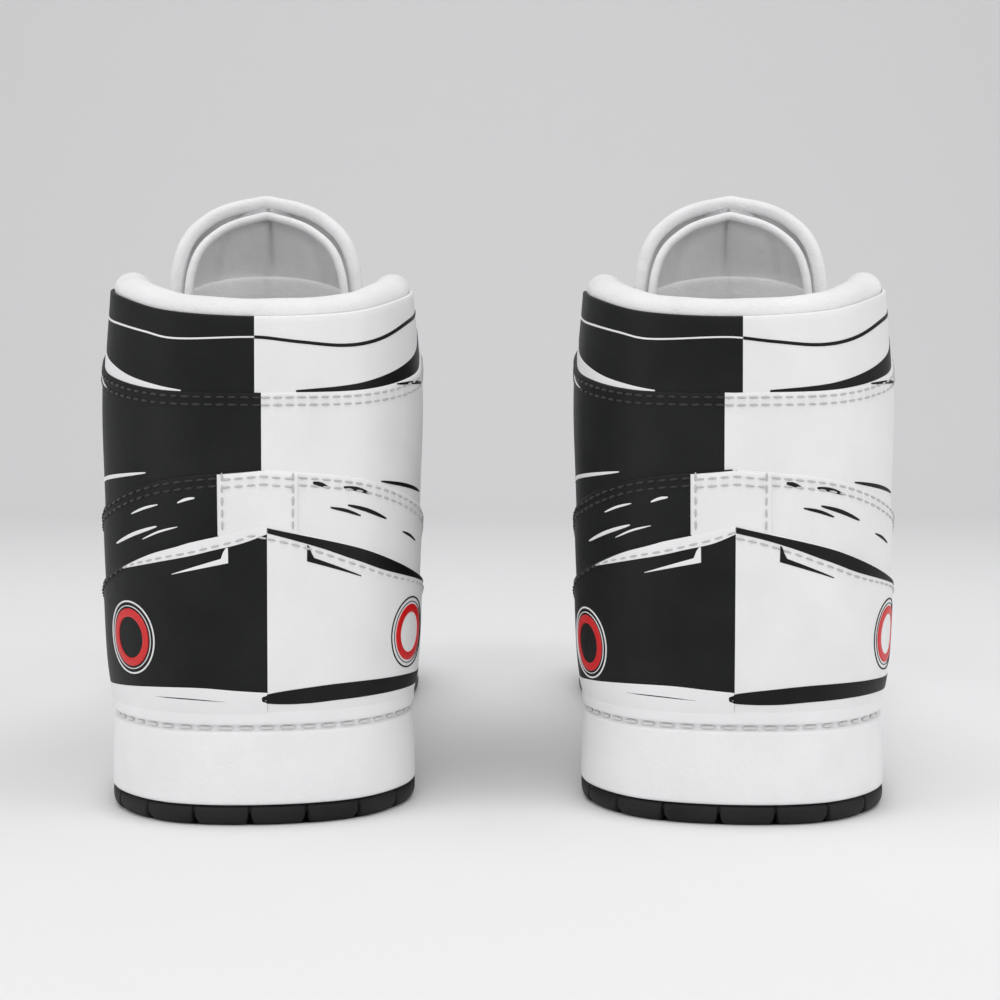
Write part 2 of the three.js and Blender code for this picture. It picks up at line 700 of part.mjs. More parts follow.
function eyeletTools() {
  const tools = [];
  for (let row = 0; row < LACE_ROWS; row++) {
    for (const side of [1, -1]) {
      const around = sidePlace(row, side);
      const normal = lastNormal(around, EYELET_UP);
      const hole = new THREE.CylinderGeometry(EYELET_RADIUS, EYELET_RADIUS, 16, 6);
      hole.applyQuaternion(new THREE.Quaternion().setFromUnitVectors(new THREE.Vector3(0, 1, 0), normal));
      const centre = lift(shellPoint(around, EYELET_UP, -2));
      hole.translate(centre.x, centre.y, centre.z);
      tools.push(hole);
    }
  }
  return tools;
}

function eyeletFacing(side) {
  const near = FIRST_EYELET - 0.015;
  const far = LAST_EYELET + 0.03;
  const body = panel({
    start: side > 0 ? near : 2 - far, end: side > 0 ? far : 2 - near, steps: 3,
    bottom: () => FACING_BOTTOM, top: () => 0.96, inner: () => stiffInner, outer: () => stiffOuter,
  });
  return cut(body, eyeletTools());
}

const LACE_UNDER = -(PANEL + STIFFENER + LINING + 3.4 * LAYER_GAP + LACE_THICKNESS / 2);
const LACE_OVER = OVERLAY + LACE_THICKNESS / 2 + 1;
const LACE_IN_HOLE = 0.34; // the lace bunches to this share of its width in an eyelet
const LACE_LANE = 0.045; // the two runs under the eyestay lie this far to either side of the eyelets

// One bar of the lace: up through an eyelet, across the throat over the tongue and down through the other.
function barPoints(row, from) {
  const half = (side) => {
    const around = sidePlace(row, side);
    const along = lift(shellPoint(around - side * 0.02, EYELET_UP, 0))
      .sub(lift(shellPoint(around + side * 0.02, EYELET_UP, 0))).normalize();
    const at = (up, out, width) => ({ point: lift(shellPoint(around, up, out)), along, width });
    return [
      at(EYELET_UP, LACE_UNDER, LACE_IN_HOLE),
      at(EYELET_UP, -PANEL, LACE_IN_HOLE),
      at(EYELET_UP, OVERLAY + 0.3, LACE_IN_HOLE),
      at(EYELET_UP + 0.035, LACE_OVER, 0.5),
      at(1.0, LACE_OVER + 0.2, 1),
    ];
  };
  const [a, b] = [half(from), half(-from)];
  const [edgeA, edgeB] = [a[a.length - 1], b[b.length - 1]];
  const middle = edgeA.point.clone().add(edgeB.point).multiplyScalar(0.5);
  middle.z += 3;
  const along = edgeA.along.clone().add(edgeB.along).normalize();
  return [...a, { point: middle, along, width: 1 }, ...b.reverse()];
}

// The run under the eyestay from one row to another, in its own lane.
function runPoints(fromRow, toRow, side, lane) {
  const points = [];
  const up = EYELET_UP + lane * LACE_LANE;
  for (const t of [0.25, 0.5, 0.75]) {
    const row = fromRow + (toRow - fromRow) * t;
    const around = sidePlace(row, side);
    const across = lift(shellPoint(around, up + 0.02, 0)).sub(lift(shellPoint(around, up - 0.02, 0))).normalize();
    points.push({ point: lift(shellPoint(around, up, LACE_UNDER)), along: across, width: LACE_IN_HOLE });
  }
  return points;
}

// Straight-bar lacing: from row 0 one end climbs by the odd rows and the other by the even ones.
function lacePath() {
  const climb = (rows, startSide) => {
    const points = [];
    let side = startSide;
    let before = 0;
    for (const row of rows) {
      points.push(...runPoints(before, row, side, row % 2 ? 1 : -1));
      points.push(...barPoints(row, side));
      side = -side;
      before = row;
    }
    return points;
  };
  const odd = climb([1, 3, 5], 1);
  const even = climb([2, 4, 6], -1);
  return [...even.reverse(), ...barPoints(0, -1), ...odd];
}

function ribbon(path, width, thickness) {
  const sections = path.map((place, i) => {
    const ahead = path[Math.min(path.length - 1, i + 1)].point;
    const back = path[Math.max(0, i - 1)].point;
    const tangent = ahead.clone().sub(back).normalize();
    const across = place.along.clone().addScaledVector(tangent, -place.along.dot(tangent)).normalize();
    if (i > 0 && across.dot(path[i - 1].across) < 0) across.negate();
    place.across = across;
    const normal = tangent.clone().cross(across);
    const corner = (a, b) => place.point.clone()
      .addScaledVector(across, (a * width * place.width) / 2)
      .addScaledVector(normal, (b * thickness) / 2);
    return [corner(-1, -1), corner(1, -1), corner(1, 1), corner(-1, 1)];
  });
  return sweep(sections);
}

function lace() {
  return ribbon(lacePath(), LACE_WIDTH, LACE_THICKNESS);
}

// ---- One shoe ----
function material(color, roughness, metalness = 0) {
  return new THREE.MeshStandardMaterial({ color, roughness, metalness });
}
const MATERIALS = {
  whiteLeather: material(0xe9e9e9, 0.45),
  blackLeather: material(0x222322, 0.45),
  whiteRubber: material(0xe8e8e8, 0.7),
  blackRubber: material(0x1c1c1d, 0.8),
  foam: material(0xd8d6cf, 0.95),
  board: material(0xc9b58c, 0.9),
  stiffener: material(0xb9b4a6, 0.8),
  lining: material(0xe4e4e4, 0.95),
  lace: material(0xf2f2f2, 0.9),
};

function shoe(prefix) {
  const group = new THREE.Group();
  // Both shoes are black on their left half and white on their right half, as seen from behind.
  const [lateral, medial] = prefix === "left" ? ["blackLeather", "whiteLeather"] : ["whiteLeather", "blackLeather"];
  const add = (name, geometry, finish) => {
    const mesh = new THREE.Mesh(geometry, MATERIALS[finish]);
    mesh.name = `${prefix}_${name}`;
    group.add(mesh);
  };
  add("outsole", outsole(), "blackRubber");
  add("cupsole", cupsole(), "whiteRubber");
  add("midsole_foam", midsoleFoam(), "foam");
  add("lasting_board", lastingBoard(), "board");
  add("footbed", footbed(), "lining");
  add("heel_counter", heelCounter(), "blackLeather");
  add("backstay", backstay(), "whiteLeather");
  add("quarter_lateral", quarter(1), lateral);
  add("quarter_medial", quarter(-1), medial);
  add("ankle_panel", anklePanel(), "whiteLeather");
  add("collar_panel", collarPanel(), "whiteLeather");
  add("eyestay", eyestay(), "whiteLeather");
  add("vamp", vamp(), "whiteLeather");
  add("toe_cap", toeCap(), "blackLeather");
  add("heel_stiffener", heelStiffener(), "stiffener");
  add("toe_puff", toePuff(), "stiffener");
  add("eyelet_facing_lateral", eyeletFacing(1), "stiffener");
  add("eyelet_facing_medial", eyeletFacing(-1), "stiffener");
  add("collar_foam", collarFoam(), "foam");
  add("collar_roll", rollSolid(ROLL_RADIUS), "lining");
  add("lining", lining(), "lining");
  const [base, top] = tongueParts();
  add("tongue_base", base, "lining");
  add("tongue_top", top, "lining");
  add("lace", lace(), "lace");
  return group;
}

// The shoe's own y = 0 is its heel, so the pair is moved back to stand centred on the origin.
function placed(group) {
  const turned = new THREE.Group();
  turned.add(group);
  turned.position.x = HEEL_SPACING / 2;
  turned.rotation.z = -THREE.MathUtils.degToRad(TOE_OUT);
  return turned;
}

const pair = new THREE.Group();
const mirrored = new THREE.Group();
mirrored.scale.x = -1;
mirrored.add(placed(shoe("left")));
pair.add(placed(shoe("right")), mirrored);
pair.updateMatrixWorld(true);
const extent = new THREE.Box3().setFromObject(pair, true);
pair.position.y = -(extent.min.y + extent.max.y) / 2;

export default pair;
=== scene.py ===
# %% [markdown]
# # A pair of ankle-high lace-up sports shoes
# Each shoe is a rubber cup sole with a leather upper stitched into it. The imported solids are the
# fixed frame. This file makes everything that shows: the upper's panels with their printed halves,
# the stitching, the laces, the padded collar and tongue, the sole and its tread.

# %% Load the frame
import math
import bpy
import bmesh
import numpy as np
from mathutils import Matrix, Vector


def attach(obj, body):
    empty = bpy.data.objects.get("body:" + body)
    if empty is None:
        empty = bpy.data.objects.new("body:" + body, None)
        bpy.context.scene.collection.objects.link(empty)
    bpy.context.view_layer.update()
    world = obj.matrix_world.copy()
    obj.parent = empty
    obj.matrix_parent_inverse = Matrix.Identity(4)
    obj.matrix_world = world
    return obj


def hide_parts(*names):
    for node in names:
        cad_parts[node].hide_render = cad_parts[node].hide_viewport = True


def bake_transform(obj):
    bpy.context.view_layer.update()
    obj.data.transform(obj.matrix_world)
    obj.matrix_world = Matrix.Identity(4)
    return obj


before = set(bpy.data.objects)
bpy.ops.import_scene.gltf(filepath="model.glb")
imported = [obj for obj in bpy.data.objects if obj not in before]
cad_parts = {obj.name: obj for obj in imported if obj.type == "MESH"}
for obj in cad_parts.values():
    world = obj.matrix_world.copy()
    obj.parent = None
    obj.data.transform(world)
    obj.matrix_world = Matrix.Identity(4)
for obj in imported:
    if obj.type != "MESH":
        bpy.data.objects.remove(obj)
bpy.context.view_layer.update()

# %% [markdown]
# ## The last
# A shoemaker stretches the upper over a last, which is one smooth closed form. So the whole upper
# is one surface here, and every panel, seam, stitch and print is a region or a line on it. Loose
# panels could each be modelled alone, but then the seams would never meet. The surface runs through
# a few stations round the shoe at each of six levels. `around` is 0 at the heel's centre and 1 at
# the toe's, positive on the lateral side, and `up` is 0 at the hem and 1 at the top line.

# %% Sizes of the shoe, in millimetres, as in the solids
LENGTH = 298.0
TOE_SPRING = 9.0
TOE_SWING = 5.5
BALL_SHARE = 100.6 / 103
SPRING_START = 205.0
TOE_OUT = math.radians(6)
HEEL_SPACING = 117.0
CUP_HEIGHT = 31.0
BOARD_HEIGHT = 18.0
UPPER_INSET = 2.2
HEM_INSET = 7.0
STATIONS = 11

SOLE_HALF = [
    (0, 0), (24, 5.5), (38, 23), (41, 48), (40, 80), (39.5, 112),
    (41.5, 148), (47.5, 184), (51.5, 216), (48.5, 248), (31, 282), (0, 298),
]
LAST_LEVELS = [
    [(0, 2.4, 56), (24.2, 8, 56), (38, 25, 56), (40.6, 49, 56), (40.2, 80, 56), (39.3, 110, 56),
     (40, 146, 55), (43.5, 182, 53), (46.5, 212, 51), (42.5, 242, 48.5), (26.5, 271, 46.5), (0, 285, 46)],
    [(0, 4.5, 82), (25, 10.5, 82), (38.8, 27.5, 82), (42.2, 50.5, 82), (42.4, 78, 83), (40, 106, 84),
     (36, 138, 81), (34, 172, 74), (32.5, 199, 68), (28, 224, 62.5), (16.5, 245, 59), (0, 254, 58)],
    [(0, 7.5, 106), (25.2, 13.5, 106), (39.2, 30, 107), (43, 52, 109), (43.2, 76, 112), (39, 100, 114),
     (29, 128, 105), (23, 160, 91), (20, 184, 80.5), (16, 202, 73.5), (9, 214, 70), (0, 218.5, 69)],
    [(0, 8.5, 127.3), (24.2, 14, 129), (37.4, 30, 133.5), (41, 51, 136.6), (40.5, 74, 136.4),
     (33.5, 95, 132.8), (20, 121, 118.5), (15.5, 150, 101), (13, 172, 86.5), (10, 186, 78.5),
     (5.5, 194, 74.5), (0, 196.5, 73.5)],
]
print("levels of the last above the cup:", len(LAST_LEVELS), "stations on each side:", len(SOLE_HALF))

# %% [markdown]
# ## Curves through points
# A last has no corners, so its few stations are joined by a smooth curve. A centripetal
# Catmull-Rom curve passes through every point and never loops between two that are close, which
# a Bezier with hand-set handles could do.

# %% Smooth curves through points
def between(a, b, c, d, part):
    """A point part of the way from b to c, on the smooth curve through a, b, c and d."""
    def gap(p, q):
        return np.maximum(np.sum((q - p) ** 2, axis=-1, keepdims=True) ** 0.25, 1e-4)
    dt0, dt1, dt2 = gap(a, b), gap(b, c), gap(c, d)
    t1 = ((b - a) / dt0 - (c - a) / (dt0 + dt1) + (c - b) / dt1) * dt1
    t2 = ((c - b) / dt1 - (d - b) / (dt1 + dt2) + (d - c) / dt2) * dt1
    return (b + t1 * part + (-3 * b + 3 * c - 2 * t1 - t2) * part ** 2
            + (2 * b - 2 * c + t1 + t2) * part ** 3)


def with_ends(points):
    """The points with one more at each end, in line with the last two."""
    return np.concatenate([2 * points[:1] - points[1:2], points, 2 * points[-1:] - points[-2:-1]])


def curve_points(points, places, closed):
    """Points on a centripetal Catmull-Rom curve. points is (n, 3) or (n, m, 3), places is 0 to 1."""
    points = np.asarray(points, float)
    places = np.asarray(places, float)
    count = len(points)
    spot = places * (count if closed else count - 1)
    first = np.floor(spot).astype(int)
    if not closed:
        first = np.clip(first, 0, count - 2)
    part = spot - first
    if closed:
        a, b, c, d = (points[(first + k) % count] for k in (-1, 0, 1, 2))
    else:
        longer = with_ends(points)
        a, b, c, d = (longer[first + k] for k in range(4))
    while part.ndim < b.ndim:
        part = part[..., None]
    return between(a, b, c, d, part)


def smooth(t):
    """0 to 1 with a soft start and end."""
    t = np.clip(t, 0, 1)
    return t * t * (3 - 2 * t)


def centreline(y):
    """The shoe's centreline swings to the medial side at the toe."""
    t = np.asarray(y, float) / LENGTH
    return 0.5 * np.sin(np.pi * np.minimum(1, t / 0.6)) - TOE_SWING * np.maximum(0, t * 2 - 1) ** 1.6


def loop_through(half):
    """A closed loop from one side's points. The forefoot is a little slimmer than the points say."""
    half = np.array(half, float)
    half[:, 0] *= 1 + (BALL_SHARE - 1) * smooth((half[:, 1] / LENGTH - 0.3) / 0.4)
    medial = half[1:-1][::-1] * [-1, 1, 1]
    points = np.concatenate([half, medial])
    points[:, 0] += centreline(points[:, 1])
    return points


def lift(points):
    """The toe spring raises everything in front of the ball of the foot."""
    points = np.array(points, float)
    t = np.maximum(0, points[..., 1] - SPRING_START) / (LENGTH - SPRING_START)
    points[..., 2] += TOE_SPRING * t * t
    return points


print("the toe's tip is lifted by", lift([0, LENGTH, 0])[2], "mm")

# %% [markdown]
# ## The surface of the last
# The lower two levels follow the sole's outline, inside the rubber cup. The other four are the
# loops above. Ribs run up through the levels, so a point anywhere on the last comes from two
# numbers, and an offset along its normal lays a panel or a print on it.

# %% The sole's outline and the last's surface
SOLE_LOOP = loop_through([(x, y, 0) for x, y in SOLE_HALF])


def sole_points(around, inset, z):
    """Points on the sole's outline, moved inwards by inset, at height z."""
    around = np.asarray(around, float)
    u = (around / 2) % 1
    p = curve_points(SOLE_LOOP, u, True)
    ahead, behind = (curve_points(SOLE_LOOP, (u + d) % 1, True) for d in (0.004, -0.004))
    tangent = ahead - behind
    tangent[..., 2] = 0
    tangent /= np.linalg.norm(tangent, axis=-1, keepdims=True)
    inset = np.asarray(inset, float)
    out = p.copy()
    out[..., 0] -= tangent[..., 1] * inset
    out[..., 1] += tangent[..., 0] * inset
    out[..., 2] = z
    return out


station_places = np.arange(2 * STATIONS) / STATIONS
LAST_LOOPS = [
    sole_points(station_places, HEM_INSET, BOARD_HEIGHT),
    sole_points(station_places, UPPER_INSET, CUP_HEIGHT),
    *[loop_through(level) for level in LAST_LEVELS],
]


def last_points(around, up):
    """Points of the last for arrays of around and up that have the same shape."""
    around, up = np.broadcast_arrays(np.asarray(around, float), np.asarray(up, float))
    u = (around.ravel() / 2) % 1
    ribs = np.stack([curve_points(loop, u, True) for loop in LAST_LOOPS])
    levels = len(LAST_LOOPS)
    spot = np.clip(up.ravel(), 0, 1) * (levels - 1)
    first = np.clip(np.floor(spot).astype(int), 0, levels - 2)
    part = (spot - first)[:, None]
    longer = with_ends(ribs)
    index = np.arange(len(u))
    p = between(*(longer[first + k, index] for k in range(4)), part)
    over = np.maximum(up.ravel() - 1, 0)[:, None]
    if over.max() > 0:
        back = last_points(around.ravel(), np.full(len(u), 0.98))
        p = p + (p - back) * over / 0.02
    return p.reshape(*up.shape, 3)


def last_normals(around, up):
    """Which way the last faces there."""
    around, up = np.broadcast_arrays(np.asarray(around, float), np.asarray(up, float))
    up = np.clip(up, 0.01, 0.99)
    along = last_points(around + 0.01, up) - last_points(around - 0.01, up)
    rise = last_points(around, up + 0.01) - last_points(around, up - 0.01)
    normal = np.cross(along, rise)
    return normal / np.linalg.norm(normal, axis=-1, keepdims=True)


def shell_points(around, up, out):
    """Points at a distance out of the last, with the toe spring."""
    out = np.asarray(out, float)
    return lift(last_points(around, up) + last_normals(around, up) * out[..., None])


def through(pairs):
    """A smooth function through a few (position, value) pairs, level beyond its ends."""
    xs = np.array([p[0] for p in pairs], float)
    ys = np.array([p[1] for p in pairs], float)
    low = np.maximum(np.arange(len(xs)) - 1, 0)
    high = np.minimum(np.arange(len(xs)) + 1, len(xs) - 1)
    slope = (ys[high] - ys[low]) / (xs[high] - xs[low])

    def value(x):
        x = np.clip(np.asarray(x, float), xs[0], xs[-1])
        i = np.clip(np.searchsorted(xs, x, side="right") - 1, 0, len(xs) - 2)
        h = xs[i + 1] - xs[i]
        t = (x - xs[i]) / h
        return ((2 * t ** 3 - 3 * t ** 2 + 1) * ys[i] + (t ** 3 - 2 * t ** 2 + t) * h * slope[i]
                + (3 * t ** 2 - 2 * t ** 3) * ys[i + 1] + (t ** 3 - t ** 2) * h * slope[i + 1])
    return value


print("the top line is", round(float(last_points(0, 1)[2]), 1), "mm high at the heel")

# %% [markdown]
# ## Seams
# A pattern cutter draws each seam on the last. So each seam here is a height for every distance
# round it, through a few points, and the panels on its two sides both follow it.

# %% Seams, as heights up the last against the distance round it
counter_top = through([
    (0, 0.545), (0.09, 0.498), (0.18, 0.44), (0.273, 0.385), (0.34, 0.335), (0.4, 0.265), (0.44, 0.215)])
quarter_top = through([
    (0, 0.657), (0.09, 0.635), (0.18, 0.586), (0.273, 0.528), (0.33, 0.5), (0.385, 0.5), (0.44, 0.56),
    (0.5, 0.65), (0.6, 0.71), (0.7, 0.735), (0.8, 0.76), (1, 0.82)])
ankle_top = through([(0, 0.819), (0.09, 0.825), (0.18, 0.843), (0.273, 0.865), (0.385, 0.89)])
toe_cap_top = through([(0.7, 0.3), (0.76, 0.34), (0.82, 0.385), (0.9, 0.44), (1, 0.47)])

# The pair is moved back so that it stands centred on the origin.
DEPTH_SHIFT = -148.429


def to_world(points, side):
    """From the shoe's own millimetres to the frame's metres. side is 1 for the right shoe."""
    points = np.asarray(points, float)
    c, s = math.cos(TOE_OUT), math.sin(TOE_OUT)
    out = np.empty_like(points)
    out[..., 0] = side * (points[..., 0] * c + points[..., 1] * s + HEEL_SPACING / 2)
    out[..., 1] = -points[..., 0] * s + points[..., 1] * c + DEPTH_SHIFT
    out[..., 2] = points[..., 2]
    return out / 1000


print("height of the counter at the heel, as a share:", float(counter_top(0)))

# %% [markdown]
# ## Left and right of the print
# Both shoes are printed black on the left and white on the right, as seen from behind, so a print
# isn't mirrored with the shoe. `w` is the distance round the last, negative to the left on both
# shoes. A half of the shoe is about 270 mm of `w` near the heel, so 1 mm is 0.0037.

# %% Places in the frame
SHOES = {"left": -1, "right": 1}
MM_OF_W = 0.0037


def place(w, up, out, side):
    """Points of the upper in the frame, in metres, from w, height and offset."""
    w, up, out = np.broadcast_arrays(np.asarray(w, float), up, out)
    return to_world(shell_points(side * w, up, out), side)


def facing(w, up, side):
    """Which way the upper faces there, in the frame."""
    w, up = np.broadcast_arrays(np.asarray(w, float), up)
    n = last_normals(side * w, up)
    c, s = math.cos(TOE_OUT), math.sin(TOE_OUT)
    return np.stack([side * (n[..., 0] * c + n[..., 1] * s), -n[..., 0] * s + n[..., 1] * c, n[..., 2]], -1)


print("the heels' centres, in metres:", [place(0, 0, 0, side).round(4).tolist() for side in SHOES.values()])

# %% [markdown]
# ## Materials
# Coated leather has a fine pebbled grain: cells a fraction of a millimetre wide that catch the
# light. An image would need unwrapping, so the grain is a Voronoi pattern on object coordinates,
# which is the same size everywhere. The print is ink in the coat, so both halves share the grain.

# %% A small helper for materials
def material(name, colour, rough, grain=(), sheen=0.0, coat=0.0, spread=0.03, specular=0.5):
    """grain is a list of (kind, size in metres, height in metres). spread varies the colour a little."""
    made = bpy.data.materials.new(name)
    made.use_nodes = True
    tree = made.node_tree
    shader = tree.nodes["Principled BSDF"]
    shader.inputs["Roughness"].default_value = rough
    shader.inputs["Specular IOR Level"].default_value = specular
    shader.inputs["Sheen Weight"].default_value = sheen
    shader.inputs["Sheen Roughness"].default_value = 0.5
    shader.inputs["Coat Weight"].default_value = coat
    shader.inputs["Coat Roughness"].default_value = 0.35
    place_node = tree.nodes.new("ShaderNodeTexCoord")
    tint = tree.nodes.new("ShaderNodeTexNoise")
    tint.inputs["Scale"].default_value = 60
    tint.inputs["Detail"].default_value = 5
    ramp = tree.nodes.new("ShaderNodeValToRGB")
    low = [max(0.0, c * (1 - spread) - spread * 0.02) for c in colour]
    high = [min(1.0, c * (1 + spread) + spread * 0.02) for c in colour]
    ramp.color_ramp.elements[0].position = 0.3
    ramp.color_ramp.elements[0].color = (*low, 1)
    ramp.color_ramp.elements[1].position = 0.7
    ramp.color_ramp.elements[1].color = (*high, 1)
    tree.links.new(place_node.outputs["Object"], tint.inputs["Vector"])
    tree.links.new(tint.outputs["Fac"], ramp.inputs["Fac"])
    tree.links.new(ramp.outputs["Color"], shader.inputs["Base Color"])
    before = None
    for kind, size, height in grain:
        if kind == "cells":
            pattern = tree.nodes.new("ShaderNodeTexVoronoi")
            pattern.feature = "SMOOTH_F1"
            out = pattern.outputs["Distance"]
        elif kind == "ribs":
            pattern = tree.nodes.new("ShaderNodeTexWave")
            pattern.inputs["Distortion"].default_value = 1.5
            pattern.bands_direction = "DIAGONAL"
            out = pattern.outputs["Fac"]
        else:
            pattern = tree.nodes.new("ShaderNodeTexNoise")
            pattern.inputs["Detail"].default_value = 4
            out = pattern.outputs["Fac"]
        pattern.inputs["Scale"].default_value = 1 / size
        tree.links.new(place_node.outputs["Object"], pattern.inputs["Vector"])
        bump = tree.nodes.new("ShaderNodeBump")
        bump.inputs["Distance"].default_value = height
        bump.inputs["Strength"].default_value = 0.6
        tree.links.new(out, bump.inputs["Height"])
        if before:
            tree.links.new(before.outputs["Normal"], bump.inputs["Normal"])
        before = bump
    if before:
        tree.links.new(before.outputs["Normal"], shader.inputs["Normal"])
    return made


print("material helper ready")

# %% [markdown]
# ## The finishes
# The black leather and its ink reflect less than the white, or a soft light would turn them grey.
# The cup's wall is rougher than its lip. Cloth has no sharp gloss: it is rough, with a little
# sheen, which is how fine fibres catch light at a low angle. Threads and the lace show their twist
# and weave as small ribs and cells.

# %% The finishes
GRAIN = [("cells", 0.0009, 0.00006), ("noise", 0.004, 0.00012)]
white_leather = material("white_leather", (0.81, 0.81, 0.813), 0.45, GRAIN, coat=0.1)
black_leather = material("black_leather", (0.0068, 0.0074, 0.0072), 0.5, GRAIN, spread=0.1, specular=0.19)
white_print = material("white_print", (0.82, 0.82, 0.825), 0.4, GRAIN[:1])
black_print = material("black_print", (0.0048, 0.0048, 0.005), 0.5, GRAIN[:1], spread=0.1, specular=0.2)
red_print = material("red_print", (0.62, 0.006, 0.008), 0.38, GRAIN[:1])
white_rubber = material("white_rubber", (0.84, 0.84, 0.845), 0.55,
                        [("noise", 0.0011, 0.00022), ("cells", 0.0007, 0.00008)])
smooth_rubber = material("white_rubber_lip", (0.84, 0.84, 0.845), 0.45, [("noise", 0.003, 0.00005)])
black_rubber = material("black_rubber", (0.007, 0.007, 0.0075), 0.6, [("noise", 0.0012, 0.00008)],
                        spread=0.15, specular=0.3)
TWIST = [("ribs", 0.0009, 0.0001)]
# The white thread is greyed: the grey is painted shade of the stitch holes that it is pulled into.
white_thread_painted_shade = material("white_thread_painted_shade", (0.52, 0.52, 0.52), 0.6, TWIST, sheen=0.2)
sole_thread = material("sole_thread", (0.72, 0.72, 0.72), 0.6, TWIST, sheen=0.2)
black_thread = material("black_thread", (0.01, 0.01, 0.0105), 0.6, TWIST, sheen=0.2)
fleece = material("brushed_lining", (0.8, 0.8, 0.805), 0.95,
                  [("noise", 0.0006, 0.0003), ("noise", 0.003, 0.0005)], sheen=0.5, spread=0.05)
mesh_lining = material("mesh_lining", (0.62, 0.62, 0.625), 0.9, [("cells", 0.0012, 0.0003)],
                       sheen=0.3, spread=0.05)
# Grey cloth on the tongue's sunken back, darkened further with painted shade of the recess inside its rolls.
tongue_lining_and_shade = material("tongue_lining_and_shade", (0.62, 0.62, 0.625), 0.9,
                         [("noise", 0.0007, 0.0002), ("noise", 0.005, 0.0006)], sheen=0.2, spread=0.06)
footbed_cloth = material("footbed_cloth", (0.55, 0.55, 0.555), 0.92, [("ribs", 0.0014, 0.0002)], sheen=0.3)
lace_weave = material("lace_weave", (0.8, 0.8, 0.8), 0.85, [("cells", 0.0008, 0.00025)], sheen=0.3)
eyelet_paint = material("eyelet_paint", (0.05, 0.05, 0.052), 0.35, [("noise", 0.002, 0.00002)], coat=0.3)
# Near-black discs of painted shade that stand for the shadowed inside of the eyelet and vent holes.
hole_shade_paint = material("hole_shade_paint", (0.008, 0.008, 0.008), 0.9, [("noise", 0.001, 0.00002)])
print("materials:", len(bpy.data.materials))

# %% [markdown]
# ## Lofted pieces
# A cut panel has two faces and a thin edge that rolls over where the skiving knife thinned it. A
# plane with Solidify would give a square edge. Each panel here is a loft instead: rows climb its
# outer face, turn over a rounded edge at the top and bottom, and come back along its inner face.
# An edge catches light like that, which is what makes stacked panels readable.

# %% Loft closed sections into one closed mesh
def loft(name, sections, finishes, closed=False, paint=None):
    """sections is (columns, points, 3) in metres. paint(column, row) gives the finish's number."""
    columns, rows = sections.shape[:2]
    verts = sections.reshape(-1, 3)
    spans = columns if closed else columns - 1
    col = np.repeat(np.arange(spans), rows)
    row = np.tile(np.arange(rows), spans)
    ahead = (col + 1) % columns
    above = (row + 1) % rows
    corners = [(col, row), (col, above), (ahead, above), (ahead, row)]
    faces = np.stack([c * rows + r for c, r in corners], 1).tolist()
    if not closed:
        faces.append(list(range(rows))[::-1])
        faces.append([(columns - 1) * rows + r for r in range(rows)])
    mesh = bpy.data.meshes.new(name)
    mesh.from_pydata(verts.tolist(), [], faces)
    for finish in finishes:
        mesh.materials.append(finish)
    if paint is not None:
        numbers = paint(col, row)
        numbers = np.concatenate([numbers, [numbers[0], numbers[-1]]]) if not closed else numbers
        mesh.polygons.foreach_set("material_index", numbers.astype(np.int32))
    obj = bpy.data.objects.new(name, mesh)
    bpy.context.scene.collection.objects.link(obj)
    tidy(obj)
    return obj


def tidy(obj):
    """Merges doubles, points the faces outwards and shades the piece smooth."""
    bm = bmesh.new()
    bm.from_mesh(obj.data)
    bmesh.ops.remove_doubles(bm, verts=bm.verts, dist=1e-6)
    bmesh.ops.recalc_face_normals(bm, faces=bm.faces)
    bm.to_mesh(obj.data)
    bm.free()
    obj.data.polygons.foreach_set("use_smooth", [True] * len(obj.data.polygons))


print("loft ready")

# %% [markdown]
# ## One panel
# A panel lies between two distances round the last and between two lines on it. Its rows are
# closer together near the edges, where the leather rolls over, and wider apart in the middle.
# Where the print changes from black to white, a column of points is moved to the exact place, so
# the line between the halves is straight.

# %% A panel of the upper
EDGE = np.array([0.0, 0.1, 0.25, 0.5])
EDGE_DROP = 0.5
BACK_DEPTH = 0.9
POINT_STEP = 1.6


def rolled(edge_distance, height, drop, reach):
    """Height of a panel's face near its edge, in millimetres."""
    return height - drop * (1 - np.clip(edge_distance / reach, 0, 1)) ** 2


def panel(name, side, start, end, bottom, top, height, finishes, paint=None, depth=BACK_DEPTH,
          step=POINT_STEP, splits=(), drop=EDGE_DROP, reach=EDGE[-1]):
    """A panel from w = start to end, between two heights that are functions of w."""
    ends = EDGE * MM_OF_W
    inner = np.linspace(start + ends[-1], end - ends[-1], max(4, int((end - start) / (step * MM_OF_W))))
    for split in splits:
        inner[np.argmin(abs(inner - split))] = split
    w = np.concatenate([start + ends[:-1], inner, end - ends[:-1][::-1]])
    low, high = bottom(w), top(w)
    samples = np.linspace(0, 1, 9)
    rib = last_points((side * w)[:, None], low[:, None] + (high - low)[:, None] * samples)
    length = np.linalg.norm(np.diff(rib, axis=1), axis=2).sum(1)
    count = max(3, int(np.max(length) / step))
    border = np.minimum(EDGE[:, None], length * 0.25)
    middle = np.linspace(0, 1, count + 1)[1:-1, None]
    along = np.concatenate([border, border[-1] + (length - 2 * border[-1]) * middle, length - border[::-1]]).T
    up = low[:, None] + (high - low)[:, None] * along / length[:, None]
    edge_up = np.minimum(along, length[:, None] - along)
    edge_round = np.minimum(w - start, end - w)[:, None] / MM_OF_W
    out = rolled(np.minimum(edge_up, edge_round), height, drop, reach)
    back_rows = list(range(along.shape[1] - 1, -1, -3))
    if back_rows[-1] != 0:
        back_rows.append(0)
    up_all = np.concatenate([up, up[:, back_rows]], 1)
    out_all = np.concatenate([out, np.full((len(w), len(back_rows)), -depth)], 1)
    sections = place(w[:, None], up_all, out_all, side)
    mid_w = (w[:-1] + w[1:]) / 2
    return loft(name, sections, finishes, paint=paint and (lambda col, row: paint(mid_w[col])))


pieces = []


